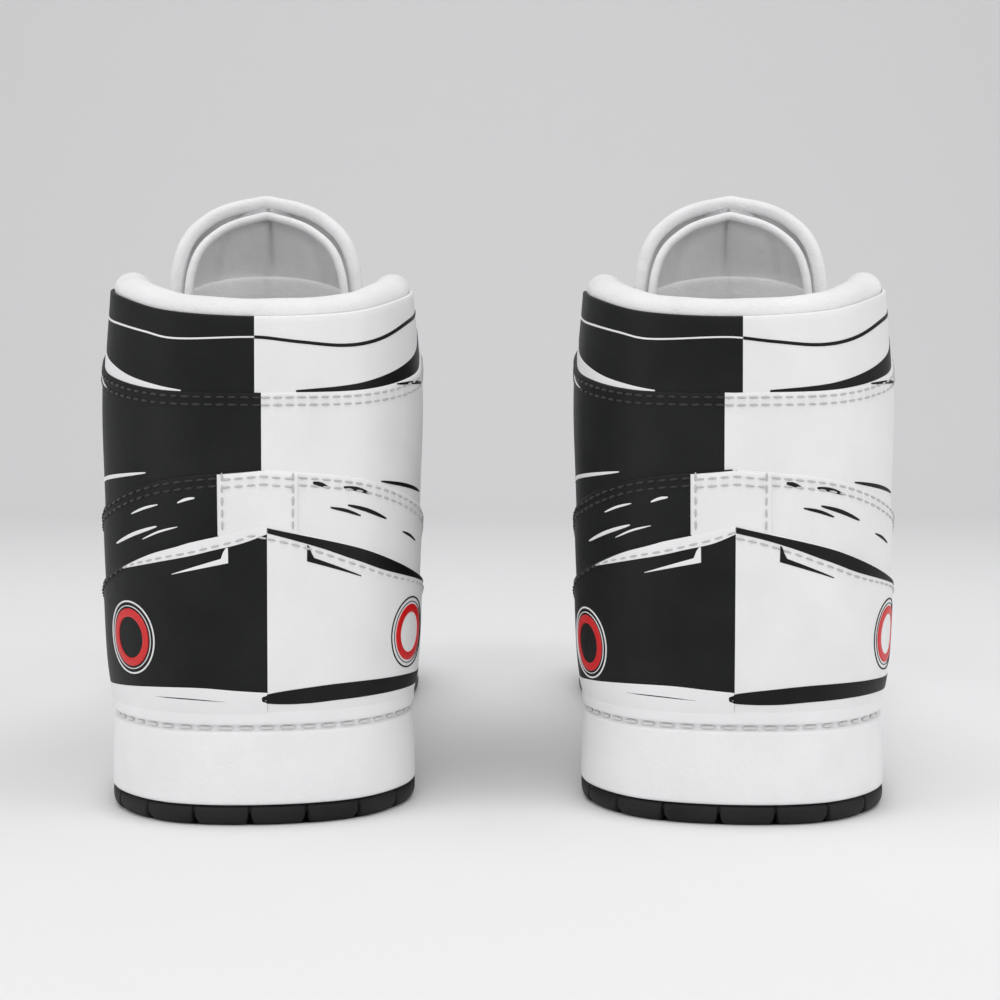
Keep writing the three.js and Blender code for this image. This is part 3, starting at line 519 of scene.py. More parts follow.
def finished(obj, body, slot, *replaced):
    """Gives the piece its body and hides the solids that it stands for. slot is not used."""
    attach(obj, body)
    if replaced:
        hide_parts(*replaced)
    pieces.append(obj.name)


print("panel ready")

# %% [markdown]
# ## The upper's panels
# The panels are stacked like roof tiles. The collar lies lowest, then the ankle band, the quarters
# and the heel counter on top, and each one reaches a few millimetres under the next. They all end
# inside the rubber cup, where the real ones are glued and stitched. Every panel of the back is half
# black and half white, and the line between the halves isn't quite at the same place on each.

# %% Panels of the upper
# How far each panel's face stands out of the last, in millimetres.
COLLAR, ANKLE, QUARTER, COUNTER = 0.0, 0.6, 1.3, 2.1
EYESTAY, VAMP, TOE_CAP, BACKSTAY = 1.8, 0.2, 1.3, 2.0
IN_THE_CUP = 0.15
UNDER = 0.022
COUNTER_END = 0.44
EYESTAY_START = 0.385
VAMP_START = 0.7
SPLITS = {
    "left": {"counter": 1.3, "ankle": 0.0, "collar": -1.6},
    "right": {"counter": 0.3, "ankle": -2.4, "collar": 1.9},
}


def fold(w):
    """Distance round the shoe from the heel's centre, on either side."""
    w = np.abs(np.asarray(w, float)) % 2
    return np.where(w > 1, 2 - w, w)


def seam(line, shift=0.0):
    """A panel's edge that follows a seam on both sides of the shoe."""
    return lambda w: line(fold(w)) + shift


def level(value):
    """A panel's edge at one height."""
    return lambda w: np.full(np.shape(w), float(value))


def halves(split):
    """Black on the left of the split and white on the right, all the way round the shoe."""
    return lambda w: ((w + 1) % 2 - 1 > split).astype(int)


def splits_of(name):
    """Where the print of each panel changes from black to white, as w."""
    return {part: offset * MM_OF_W for part, offset in SPLITS[name].items()}


LEATHERS = [black_leather, white_leather]
print("the counter's split, left and right:", [round(splits_of(name)["counter"], 4) for name in SHOES])

# %% [markdown]
# ## The back of the upper
# The collar, the ankle band and the heel counter wrap the heel from side to side, in two colours.
# Each quarter is one colour, so the black one and the white one meet under the backstay, which
# covers their joint as on a real shoe.

# %% Collar, ankle band, quarters, heel counter and backstay
BACK_END = 0.4
QUARTER_SPAN = (0.002, 0.715)


def quarter_bottom(w):
    """The quarter ends just under the counter, and in front of it inside the cup."""
    return np.where(fold(w) < COUNTER_END - 0.01, counter_top(fold(w)) - UNDER, IN_THE_CUP)


for name, side in SHOES.items():
    split = splits_of(name)
    collar = panel(f"{name}_shoe_collar_panel", side, -BACK_END, BACK_END, seam(ankle_top, -UNDER),
                   level(1.0), COLLAR, LEATHERS, halves(split["collar"]), splits=[split["collar"]])
    finished(collar, f"{name}_shoe", "white_leather", f"{name}_collar_panel")
    ankle = panel(f"{name}_shoe_ankle_band", side, -BACK_END, BACK_END, seam(quarter_top, -UNDER),
                  seam(ankle_top), ANKLE, LEATHERS, halves(split["ankle"]), splits=[split["ankle"]])
    finished(ankle, f"{name}_shoe", "white_leather", f"{name}_ankle_panel")
    for hand, leather, slot_name in ((-1, black_leather, "black_leather"), (1, white_leather, "white_leather")):
        start, end = sorted(hand * w for w in QUARTER_SPAN)
        which = "lateral" if hand == side else "medial"
        quarter = panel(f"{name}_shoe_quarter_{which}", side, start, end, quarter_bottom, seam(quarter_top),
                        QUARTER, [leather])
        finished(quarter, f"{name}_shoe", slot_name, f"{name}_quarter_{which}")
    counter = panel(f"{name}_shoe_heel_counter", side, -COUNTER_END, COUNTER_END, level(IN_THE_CUP),
                    seam(counter_top), COUNTER, LEATHERS, halves(split["counter"]), splits=[split["counter"]])
    finished(counter, f"{name}_shoe", "black_leather", f"{name}_heel_counter", f"{name}_heel_stiffener")
    strip = panel(f"{name}_shoe_backstay", side, -0.037, 0.031, seam(counter_top, -0.012),
                  seam(quarter_top, -0.004), BACKSTAY, [white_leather], step=1.0)
    finished(strip, f"{name}_shoe", "white_leather", f"{name}_backstay")
print("panels:", len(pieces))

# %% [markdown]
# ## The front of the upper
# The eyestay is one horseshoe of leather round the throat. The vamp lies lowest, so that the toe
# cap and the eyestay both overlap it. All three go right round the toe side, from w below 1 to w
# above 1, and change colour at 1, the toe's centreline.

# %% Eyestay, vamp and toe cap
for name, side in SHOES.items():
    eyestay = panel(f"{name}_shoe_eyestay", side, EYESTAY_START, 2 - EYESTAY_START, seam(quarter_top, -0.01),
                    level(0.995), EYESTAY, LEATHERS, halves(0), depth=0.3, splits=[1.0])
    finished(eyestay, f"{name}_shoe", "white_leather", f"{name}_eyestay",
             f"{name}_eyelet_facing_lateral", f"{name}_eyelet_facing_medial")
    vamp = panel(f"{name}_shoe_vamp", side, VAMP_START - 0.01, 2 - VAMP_START + 0.01,
                 seam(toe_cap_top, -UNDER), seam(quarter_top, 0.004), VAMP, LEATHERS, halves(0), splits=[1.0])
    finished(vamp, f"{name}_shoe", "white_leather", f"{name}_vamp")
    cap = panel(f"{name}_shoe_toe_cap", side, VAMP_START - 0.02, 2 - VAMP_START + 0.02, level(IN_THE_CUP),
                seam(toe_cap_top), TOE_CAP, LEATHERS, halves(0), splits=[1.0])
    finished(cap, f"{name}_shoe", "black_leather", f"{name}_toe_cap", f"{name}_toe_puff")
print("panels:", len(pieces))

# %% [markdown]
# ## The sole
# The cup sole is one rubber moulding. Its wall is stippled by the mould below the stitch groove and
# smooth on the lip above it. It is one closed profile carried round the outline. A curve with a
# bevel profile could do that too, but the loft keeps every row at a known height.

# %% The cup sole
def ring(inset_rows, z_rows, places):
    """Sections round the sole, from lists of insets and heights."""
    insets = np.broadcast_to(np.asarray(inset_rows, float), (len(places), np.shape(inset_rows)[-1]))
    heights = np.broadcast_to(np.asarray(z_rows, float), insets.shape)
    around = np.broadcast_to(places[:, None], insets.shape)
    base = sole_points(around.ravel(), 0, 0).reshape(*insets.shape, 3)
    moved = sole_points(around.ravel(), 1.0, 0).reshape(*insets.shape, 3)
    points = base + (moved - base) * insets[..., None]
    points[..., 2] = heights
    return lift(points)


CUP = [
    (1.5, 5.2), (0.7, 5.3), (0.35, 5.7), (0.3, 6.4), (0.35, 9), (0.45, 13), (0.6, 17), (0.75, 20),
    (0.85, 22.6), (0.9, 23.2), (1.05, 23.5), (1.9, 23.75), (2.2, 24.2), (2.25, 24.7), (2.0, 25.15),
    (1.0, 25.4), (0.72, 25.7),
    (0.6, 26.3), (0.55, 28), (0.6, 29.8), (0.75, 30.5), (1.1, 30.9), (1.6, 31.0), (2.3, 30.8), (3.5, 27.5),
    (7.0, 17.5), (7.0, 5.2),
]
# The rows of the profile that have the lip's smooth finish.
LIP_ROWS = (15, 23)
SOLE_PLACES = np.linspace(0, 2, 420, endpoint=False)
for name, side in SHOES.items():
    sections = to_world(ring([c[0] for c in CUP], [c[1] for c in CUP], SOLE_PLACES), side)
    cup = loft(f"{name}_shoe_cup_sole", sections, [white_rubber, smooth_rubber], closed=True,
               paint=lambda col, row: ((row >= LIP_ROWS[0]) & (row <= LIP_ROWS[1])).astype(int))
    finished(cup, f"{name}_shoe", "white_rubber", f"{name}_cupsole", f"{name}_midsole_foam")
print("points round the cup:", len(SOLE_PLACES))

# %% [markdown]
# ## The outsole's edge
# The black outsole shows as a band with cleats cut into it: a thin groove every few millimetres and
# a small V under each. The grooves are spaced by the true length round the outline, so the cleats
# are as wide at the toe as at the side. A boolean could cut them, but moving the loft's own points
# inwards keeps the band one clean ring.

# %% The outsole's edge
def perimeter_places(count=4000):
    """The outline's length from the heel's centre at even values of around, in millimetres."""
    around = np.linspace(-1, 1, count)
    p = sole_points(around, 0, 0)
    length = np.concatenate([[0], np.cumsum(np.linalg.norm(np.diff(p, axis=0), axis=1))])
    return around, length - np.interp(0, around, length)


AROUND, ARC = perimeter_places()
CLEAT_PITCH = 14.4
FIRST_GROOVE = 3.5
GROOVE_OFFSETS = [-1.5, -1.1, -0.75, -0.5, -0.35, -0.15, 0.0, 0.15, 0.35, 0.5, 0.75, 1.1, 1.5]
BETWEEN_GROOVES = [4.0, 7.2, 10.4]
# Inset and height of the band's profile, from its top over its outer face to its inner face.
BAND = [(2.2, 4.9), (1.1, 4.85), (0.6, 4.5), (0.4, 3.9), (0.4, 3.0), (0.45, 2.2), (0.6, 1.5), (0.9, 0.9),
        (1.4, 0.35), (2.2, 0.0), (9.0, 0.0), (9.0, 4.9)]
OUTER_ROWS = 9
DEEPEST = 8.0


def outsole_sections(side):
    """A ring with a thin groove every pitch and a small V under each."""
    count = int((ARC[-1] - ARC[0]) / CLEAT_PITCH)
    grooves = CLEAT_PITCH * np.arange(-count, count + 1) - FIRST_GROOVE * side
    grooves = grooves[(grooves > ARC[0] + 4) & (grooves < ARC[-1] - 4)]
    arc = (grooves[:, None] + (GROOVE_OFFSETS + BETWEEN_GROOVES)).ravel()
    arc = np.unique(np.round(np.append(arc, ARC[0]), 3))
    arc = arc[(arc >= ARC[0]) & (arc < ARC[-1] - 0.5)]
    near = np.min(abs(arc[:, None] - grooves), axis=1)[:, None]
    insets, heights = (np.tile(row, (len(arc), 1)) for row in np.array(BAND).T)
    slit = np.clip((0.5 - near) / 0.15, 0, 1)
    wedge = np.clip(1 - near / (1.8 * np.clip(1 - heights / 3.0, 0.01, 1)), 0, 1)
    outer = np.arange(len(BAND)) < OUTER_ROWS
    insets += outer * (1.0 * slit + 2.4 * wedge * (heights < 2.4))
    # No groove cuts through the band, and the inner face's rows stay apart.
    insets = np.minimum(insets, DEEPEST + insets * 0.001)
    return to_world(ring(insets, heights, np.interp(arc, ARC, AROUND)), side)


for name, side in SHOES.items():
    edge = loft(f"{name}_shoe_outsole_edge", outsole_sections(side), [black_rubber], closed=True)
    finished(edge, f"{name}_shoe", "black_rubber")
print("length round the outline:", round(float(ARC[-1] - ARC[0])), "mm")

# %% [markdown]
# ## The plates
# The footbed and the floor of the outsole are plates that fill the outline. Their faces close in on
# the shoe's centreline, so that the plate follows the toe spring without long thin triangles.

# %% Plates that fill the outline
MIDDLE_RANGE = (42, 246)
CLOSING_ROWS = 7


def closed_in(edge, height, share):
    """The edge's points, moved a share of the way to the centreline at the plate's height."""
    middle = np.zeros_like(edge)
    middle[:, 1] = np.clip(edge[:, 1], *MIDDLE_RANGE)
    middle[:, 0] = centreline(middle[:, 1])
    middle = lift(middle)
    middle[:, 2] += height
    return edge + (middle - edge) * share


def plate(name, side, insets, heights, finish):
    """insets and heights are a profile from the middle of one face, over the edge, to the other's."""
    edges = [ring([inset], [height], SOLE_PLACES[::3])[:, 0] for inset, height in zip(insets, heights)]
    shares = np.arange(1, CLOSING_ROWS + 1) / CLOSING_ROWS
    lower = [closed_in(edges[0], heights[0], share) for share in shares[::-1]]
    upper = [closed_in(edges[-1], heights[-1], share) for share in shares]
    return loft(name, to_world(np.stack(lower + edges + upper, 1), side), [finish], closed=True)


for name, side in SHOES.items():
    floor_plate = plate(f"{name}_shoe_outsole_floor", side, [8.5, 8.5], [1.2, 4.9], black_rubber)
    finished(floor_plate, f"{name}_shoe", "black_rubber", f"{name}_outsole")
    bed = plate(f"{name}_shoe_footbed", side, [11.5, 10.9, 10.7, 10.9, 11.6, 13.5],
                [18.6, 19.4, 21.4, 23.0, 23.8, 23.9], footbed_cloth)
    finished(bed, f"{name}_shoe", "lining", f"{name}_footbed", f"{name}_lasting_board")
print("pieces so far:", len(pieces))

# %% [markdown]
# ## The lining and the padded roll
# Inside the panels a knitted lining runs from the footbed to the collar, and a roll of foam covered
# in brushed cloth goes round the ankle opening. A tube with round ends is the roll's real form.

# %% Lining and roll
LINING_DEPTH = 4.7
COLLAR_FOAM = 6.0
ROLL_RADIUS = 4.4
ROLL_END = 0.432


def lining_depth(w, up):
    """How far the lining lies inside the last. It hugs the panels along the throat."""
    d = fold(w)
    foam = COLLAR_FOAM * smooth((up - 0.55) / 0.2) * (1 - smooth((d - 0.4) / 0.08))
    foam = foam * (1 - 0.62 * smooth((up - 0.9) / 0.075))
    throat = smooth((d - 0.4) / 0.08) * smooth((up - 0.6) / 0.2)
    return (LINING_DEPTH + foam) * (1 - throat) + 1.1 * throat


def lining_sections(side):
    """A thin sleeve whose top is tucked into the roll, with a few soft creases on its inner face."""
    w = np.linspace(0, 2, 260, endpoint=False)
    up = 0.02 + np.tile(np.linspace(0, 0.962, 60), (len(w), 1))
    depth = lining_depth(w[:, None], up)
    crease = 0.25 * np.sin(up * 60 + 3 * np.sin(w[:, None] * 9))
    crease = crease * smooth((0.3 - abs(up - 0.6)) / 0.3)
    up_all = np.concatenate([up, up[:, ::-1]], 1)
    out = np.concatenate([-depth, -(depth + 1.0 + crease)[:, ::-1]], 1)
    return place(w[:, None], up_all, out, side)


def roll_sections(side, sides=20, count=230):
    """A tube along the top line that closes in a round end at each front corner of the collar."""
    t = np.linspace(-1, 1, count)
    w = ROLL_END * t
    reach = ROLL_RADIUS * MM_OF_W
    from_end = np.clip((ROLL_END - abs(w)) / reach, 0, 1)
    radius = ROLL_RADIUS * np.sqrt(np.clip(1 - (1 - from_end) ** 2, 0.0004, 1))
    wave = 0.18 * np.sin(w * 95) + 0.12 * np.sin(w * 41 + 1.0)
    radius = radius * (1 + 0.03 * wave)
    around = side * w
    top = last_points(around, np.ones(count))
    normal = last_normals(around, np.full(count, 0.98))
    rise = top - last_points(around, np.full(count, 0.97))
    rise /= np.linalg.norm(rise, axis=1, keepdims=True)
    centre = top - normal * (ROLL_RADIUS + 1.6) + rise * (0.5 + 0.25 * wave[:, None])
    angle = np.arange(sides) / sides * 2 * np.pi
    across = normal[:, None] * np.cos(angle)[:, None] * 1.12
    points = centre[:, None] + radius[:, None, None] * (across + rise[:, None] * np.sin(angle)[:, None])
    return to_world(lift(points), side)


for name, side in SHOES.items():
    lining = loft(f"{name}_shoe_lining", lining_sections(side), [mesh_lining], closed=True)
    finished(lining, f"{name}_shoe", "lining", f"{name}_lining", f"{name}_collar_foam")
    roll = loft(f"{name}_shoe_collar_roll", roll_sections(side), [fleece])
    finished(roll, f"{name}_shoe", "lining", f"{name}_collar_roll")
print("lining and roll made, pieces so far:", len(pieces))

# %% [markdown]
# ## The tongue
# The tongue is a pad of foam between two cloths, bound round its free edge by a rolled strip, with
# a second thin roll inside it. Behind the rolls the lining is sunk and quilted by a seam down its
# middle. It bends at the top of the throat.

# %% Where the tongue runs
TONGUE_HALF_WIDTH = 26.5
TONGUE_HEIGHT = 165.6
TONGUE_LEAN = 6.0
TONGUE_THICKNESS = 5.0
# Down the throat: around, depth under the last, how far it tucks under the eyestay, set back.
THROAT = [(0.97, 9, 10, 3), (0.9, 6, 10, 5), (0.81, 3.5, 10, 8), (0.72, 2.5, 10, 11), (0.63, 2, 10, 14),
          (0.56, 2.6, 8, 16), (0.52, 3.4, 5, 17)]
# Up the free part: shares of the rise, the lean and the half width, and the sides' set back.
FREE = [(0.2, 0.22, 1, 16.5), (0.4, 0.44, 0.99, 15.5), (0.58, 0.62, 0.965, 13.5), (0.72, 0.76, 0.9, 11),
        (0.82, 0.85, 0.79, 8), (0.9, 0.92, 0.62, 5), (0.955, 0.96, 0.42, 2.5), (0.985, 0.985, 0.24, 1),
        (1, 1, 0.06, 0.2)]


def tongue_spine():
    """Middle point, half width and curl of the tongue, row by row from the toe end to the top."""
    rows = []
    for around, depth, tuck, back in THROAT:
        a, b = last_points(np.array([around, 2 - around]), np.ones(2))
        out = last_normals(np.array([around, 2 - around]), np.full(2, 0.97)).sum(0)
        out[0] = 0
        out /= np.linalg.norm(out)
        point = (a + b) / 2 - out * depth
        rows.append([*point, min(TONGUE_HALF_WIDTH, np.linalg.norm(a - b) / 2 + tuck), back])
    foot = rows[-1]
    for rise, lean, width, back in FREE:
        rows.append([foot[0], foot[1] - TONGUE_LEAN * lean, foot[2] + (TONGUE_HEIGHT - foot[2]) * rise,
                     TONGUE_HALF_WIDTH * width, back])
    return np.array(rows)


print("rows of the tongue's spine:", len(tongue_spine()))

# %% [markdown]
# ## The tongue's face
# Across, the tongue is a shallow arc that wraps the ankle. One function gives any point on it, so
# the pad, the rolls and the lower lining all sit on the same face. Its rows run closer together
# toward the top, where the outline turns over.

# %% Points on the tongue
WIDEST = math.pi / 2.2


def tongue_face(rows, share, depth):
    """Points across the tongue: share -1 to 1, depth in from the outer face."""
    point, half, back = rows[:, :3], rows[:, 3:4], rows[:, 4:5]
    before = np.concatenate([point[:1], point[:-1]])
    after = np.concatenate([point[1:], point[-1:]])
    out = square_to(after - before)
    angle = share * WIDEST
    across = half * np.sin(angle) / math.sin(WIDEST)
    set_back = back * (1 - np.cos(angle)) / (1 - math.cos(WIDEST))
    points = np.repeat(point[:, None], share.shape[-1], axis=1)
    points[..., 0] += across
    return points - out[:, None] * (set_back + depth)[..., None]


def tongue_rows(count):
    """The spine resampled smoothly, as rows of point, half width and set back."""
    spine = tongue_spine()
    last = len(spine) - 1
    spots = last * (np.linspace(0, 1, count) ** 0.8)
    fine = np.zeros((count, 5))
    fine[:, :3] = curve_points(spine[:, :3], spots / last, False)
    extra = np.stack([spine[:, 3], spine[:, 4], np.zeros(last + 1)], 1)
    fine[:, 3:] = curve_points(extra, spots / last, False)[:, :2]
    return fine


def square_to(ahead):
    """Which way the tongue's outer face points, from directions along it."""
    ahead = ahead.copy()
    ahead[:, 0] = 0
    ahead /= np.linalg.norm(ahead, axis=1, keepdims=True)
    return np.stack([np.zeros(len(ahead)), ahead[:, 2], -ahead[:, 1]], 1)


print("the tongue's top is", round(float(tongue_rows(40)[-1, 2]), 1), "mm high")

# %% [markdown]
# ## The tongue's pad and its lower lining
# The back of the pad is sunk inside its rolls and quilted: a seam down the middle pulls it in, with
# a softer crease on each side. A cloth simulation could puff it, but the same fold has to repeat at
# every run, so the quilting is a few smooth dips in the pad's thickness. The thicker pad low on its
# back is a piece of its own, whose top edge is an arc.

# %% Pad and lower lining
SHELF_HEIGHT = 144.5
INNER_START = 128


def shelf_edge(share):
    """Height of the arc where the tongue's lower lining ends."""
    return SHELF_HEIGHT - 7.0 * share ** 2


def tongue_sections(side, count=190, spans=64):
    """The pad's sections, and a paint function that gives its sunken back the darker lining: grey cloth with
    painted shade of its recess.
    """
    rows = tongue_rows(count)
    share = np.broadcast_to(np.linspace(-1, 1, spans + 1), (count, spans + 1))
    thick = TONGUE_THICKNESS * (1 - 0.45 * abs(share) ** 5)
    z = rows[:, 2:3]
    wander = 0.03 * np.sin(z / 9)
    quilt = 1.7 * np.exp(-((share - wander) / 0.022) ** 2)
    for crease, depth, slope in ((-0.5, 0.8, 0.006), (0.46, 1.0, -0.001)):
        quilt = quilt + depth * np.exp(-((share - crease - slope * (z - 150)) / 0.05) ** 2)
    quilt = quilt * smooth((z - 132) / 4) * smooth((168 - z) / 6)
    sag = 0.7 * np.sin(z / 5 + share * 4) * smooth((z - 140) / 6) * (1 - share ** 2)
    from_end = np.minimum(np.arange(count), count - 1 - np.arange(count))
    end = np.sqrt(np.clip(from_end / 6, 0.02, 1))[:, None]
    outer = tongue_face(rows, share, 0 * share)
    inner_depth = np.maximum((thick - quilt - 1.6 + sag) * end, 0.3)
    inner = tongue_face(rows, share, inner_depth)
    edge = [tongue_face(rows, share[:, k:k + 1] * 1.01, inner_depth[:, k:k + 1] * d)
            for k, d in ((-1, 0.3), (-1, 0.7), (0, 0.7), (0, 0.3))]
    section = np.concatenate([outer, edge[0], edge[1], inner[:, ::-1], edge[2], edge[3]], axis=1)
    back_start = spans + 3

    def paint(col, row):
        # The sunken back above INNER_START gets the darker lining, grey cloth with painted shade.
        sunk = rows[col, 2] > INNER_START
        return ((row >= back_start) & (row < back_start + spans) & sunk).astype(int)
    return to_world(lift(section), side), paint


LOWER_SPAN = 0.93
ROLL_OVER = [(0.3, 0.12), (0.55, 0.4), (0.7, 0.75), (0.8, 1.2)]


def lower_lining_sections(side, columns=70, count=26):
    """The pad low on the tongue's back face. Its top rolls over through the steps of ROLL_OVER."""
    rows = tongue_rows(400)
    rows = rows[rows[:, 2] > 100]
    sections = []
    for s in np.linspace(-LOWER_SPAN, LOWER_SPAN, columns):
        edge = shelf_edge(s) - 0.8
        z = np.append(np.linspace(118, edge, count), [edge + up for up, _ in ROLL_OVER])
        drop = np.append(np.zeros(count), [down for _, down in ROLL_OVER])
        at = np.stack([np.interp(z, rows[:, 2], rows[:, k]) for k in range(5)], 1)
        near_end = 1.2 * (1 - np.clip((LOWER_SPAN - abs(s)) / 0.05, 0, 1)) ** 2
        seam_dip = 0.9 * np.exp(-((s - 0.02) / 0.015) ** 2)
        top = TONGUE_THICKNESS * (1 - 0.45 * abs(s) ** 5) - drop - near_end - seam_dip
        out = square_to(np.gradient(at[:, :3], axis=0))
        angle = s * WIDEST
        base = at[:, :3].copy()
        base[:, 0] += at[:, 3] * math.sin(angle) / math.sin(WIDEST)
        set_back = at[:, 4] * (1 - math.cos(angle)) / (1 - math.cos(WIDEST))
        back_face = base - out * (set_back + top)[:, None]
        inner_face = base - out * (set_back + 1.5)[:, None]
        sections.append(np.concatenate([back_face, inner_face[::-1]]))
    return to_world(lift(np.array(sections)), side)


print("the lower lining ends at", shelf_edge(0), "mm")

# %% [markdown]
# ## The tongue's rolls
# The pad's free edge is bound by a rolled strip, and a thinner roll runs inside it. Both are round
# tubes along the same edge, made a little smoother than the pad, with a slight peak at the top
# where the binding is joined. A curve object with a bevel would leave flat open ends.

# %% Binding and inner rim
def tube(name, centres, radii, finish, side, sides=14):
    """A round tube through points in the shoe's own millimetres, with round ends."""
    centres = np.asarray(centres, float)
    tangent = np.gradient(centres, axis=0)
    tangent /= np.linalg.norm(tangent, axis=1, keepdims=True)
    first = np.cross(tangent, [0.0, 1.0, 0.0])
    first /= np.linalg.norm(first, axis=1, keepdims=True)
    for i in range(1, len(first)):
        if first[i] @ first[i - 1] < 0:
            first[i] *= -1
    second = np.cross(tangent, first)
    angle = np.arange(sides) / sides * 2 * np.pi
    spokes = first[:, None] * np.cos(angle)[:, None] + second[:, None] * np.sin(angle)[:, None]
    ring_points = centres[:, None] + np.asarray(radii)[:, None, None] * spokes
    return loft(name, to_world(lift(ring_points), side), [finish])


def resampled(points, count):
    """The points of a path at even distances along it."""
    points = np.asarray(points, float)
    length = np.concatenate([[0], np.cumsum(np.linalg.norm(np.diff(points, axis=0), axis=1))])
    at = np.linspace(0, length[-1], count)
    return np.stack([np.interp(at, length, points[:, k]) for k in range(3)], 1)


RIM_POINTS = 220
RIM_START = 0.44
PEAK = 0.45


def rim(depth, inwards):
    """The tongue's free edge, up one side, over the top and down the other."""
    rows = tongue_rows(190)
    rows = rows[int(len(rows) * RIM_START):].copy()
    rows[:, 3] = np.maximum(rows[:, 3] - inwards, 0.2)
    shrink = (TONGUE_HEIGHT - inwards - 130) / (TONGUE_HEIGHT - 130)
    rows[:, 2] = np.where(rows[:, 2] > 130, 130 + (rows[:, 2] - 130) * shrink, rows[:, 2])
    one = np.ones((len(rows), 1))
    left, right = (tongue_face(rows, hand * one, depth * one)[:, 0] for hand in (-1, 1))
    path = resampled(np.concatenate([left, right[::-1]]), RIM_POINTS)
    for _ in range(24):
        path[1:-1] = (path[:-2] + 2 * path[1:-1] + path[2:]) / 4
    near_top = np.exp(-((path[:, 0] - path[RIM_POINTS // 2, 0]) / 3.0) ** 2) * (path[:, 2] > 150)
    path[:, 2] += PEAK * near_top
    return path


def rounded_ends(radius, span=5):
    """The tube's radius at each point, closing in a round end."""
    k = np.minimum(np.arange(RIM_POINTS), RIM_POINTS - 1 - np.arange(RIM_POINTS))
    return radius * np.sqrt(np.clip(1 - (1 - np.clip(k / span, 0, 1)) ** 2, 0.01, 1))


print("length of the rim:", round(float(np.linalg.norm(np.diff(rim(2.6, -0.3), axis=0), axis=1).sum())), "mm")

# %% [markdown]
# ## Putting the tongue together
# The tongue bends at the top of the throat. Its four pieces are made, their transforms are baked into
# their points, and the solids that they stand for are hidden.

# %% The tongue's pieces
for name, side in SHOES.items():
    sections, paint = tongue_sections(side)
    tongue = loft(f"{name}_shoe_tongue", sections, [fleece, tongue_lining_and_shade], paint=paint)
    binding = tube(f"{name}_shoe_tongue_binding", rim(2.6, -0.3), rounded_ends(2.05), fleece, side)
    inner_rim = tube(f"{name}_shoe_tongue_inner_rim", rim(4.6, 3.3), rounded_ends(1.25), fleece, side)
    lower_lining = loft(f"{name}_shoe_tongue_lower_lining", lower_lining_sections(side), [fleece])
    for piece in (tongue, binding, inner_rim, lower_lining):
        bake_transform(piece)
        pieces.append(piece.name)
    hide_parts(f"{name}_tongue_base", f"{name}_tongue_top")
print("tongues made, pieces so far:", len(pieces))

# %% [markdown]
# ## The lace
# A flat woven lace in straight bars: each bar crosses the tongue, goes down through an eyelet and
# runs up behind the eyestay to its next eyelet, where it is squeezed to a narrow bundle. The path is
# the real route, so the lace is one closed ribbon, and the weave is in its finish.

# %% The lace's route
EYELET_UP = 0.86
FIRST_EYELET, LAST_EYELET, LACE_ROWS = 0.515, 0.86, 7
LACE_UNDER = -7.67
LACE_OVER = EYESTAY + 1.5
LACE_LANE = 0.045
IN_HOLE = 0.36


def row_place(row):
    """Distance round the last of a row of eyelets. Row 0 is the one nearest the toe."""
    return LAST_EYELET + (FIRST_EYELET - LAST_EYELET) * row / (LACE_ROWS - 1)


def eyelet_place(row, hand):
    return row_place(row) if hand > 0 else 2 - row_place(row)


def own(around, up, out):
    """One point at a distance out of the last, in the shoe's own millimetres."""
    return shell_points(np.float64(around), np.float64(up), np.float64(out))


def bar(row, hand):
    """Up through one eyelet, across the tongue and down through the opposite one."""
    def half(h):
        around = eyelet_place(row, h)
        along = own(around - h * 0.02, EYELET_UP, 0) - own(around + h * 0.02, EYELET_UP, 0)
        along /= np.linalg.norm(along)
        spots = [(EYELET_UP, LACE_UNDER, IN_HOLE), (EYELET_UP, -1.9, IN_HOLE),
                 (EYELET_UP, EYESTAY + 0.3, IN_HOLE), (EYELET_UP + 0.035, LACE_OVER, 0.55),
                 (1.0, LACE_OVER, 1)]
        return [(own(around, up, out), along, width) for up, out, width in spots]
    a, b = half(hand), half(-hand)
    middle = (a[-1][0] + b[-1][0]) / 2
    middle[2] += 3
    return a + [(middle, a[-1][1] + b[-1][1], 1)] + b[::-1]


def hidden_run(start, end, hand, lane):
    """Behind the eyestay from one row to another. The two runs of a side keep to their own lanes."""
    points = []
    up = EYELET_UP + lane * LACE_LANE
    for t in (0.25, 0.5, 0.75):
        around = eyelet_place(start + (end - start) * t, hand)
        rise = own(around, up + 0.02, 0) - own(around, up - 0.02, 0)
        points.append((own(around, up, LACE_UNDER), rise, IN_HOLE))
    return points


def lace_route():
    """From the bar nearest the toe each end of the lace climbs to every second row."""
    def climb(rows, hand):
        points, before = [], 0
        for row in rows:
            points += hidden_run(before, row, hand, 1 if row % 2 else -1) + bar(row, hand)
            hand, before = -hand, row
        return points
    return climb([2, 4, 6], -1)[::-1] + bar(0, -1) + climb([1, 3, 5], 1)


print("points on the lace's route:", len(lace_route()))

# %% [markdown]
# ## The lace's section
# The ribbon is flat with rounded edges, and twists smoothly from lying across the tongue to
# standing on edge in its hole. A curve object twists by rules of its own, so here each point of the
# route says which way is across, and the section is laid out from that.

# %% The lace
LACE_WIDTH = 7.2
LACE_THICKNESS = 1.5
STEPS_EACH = 8


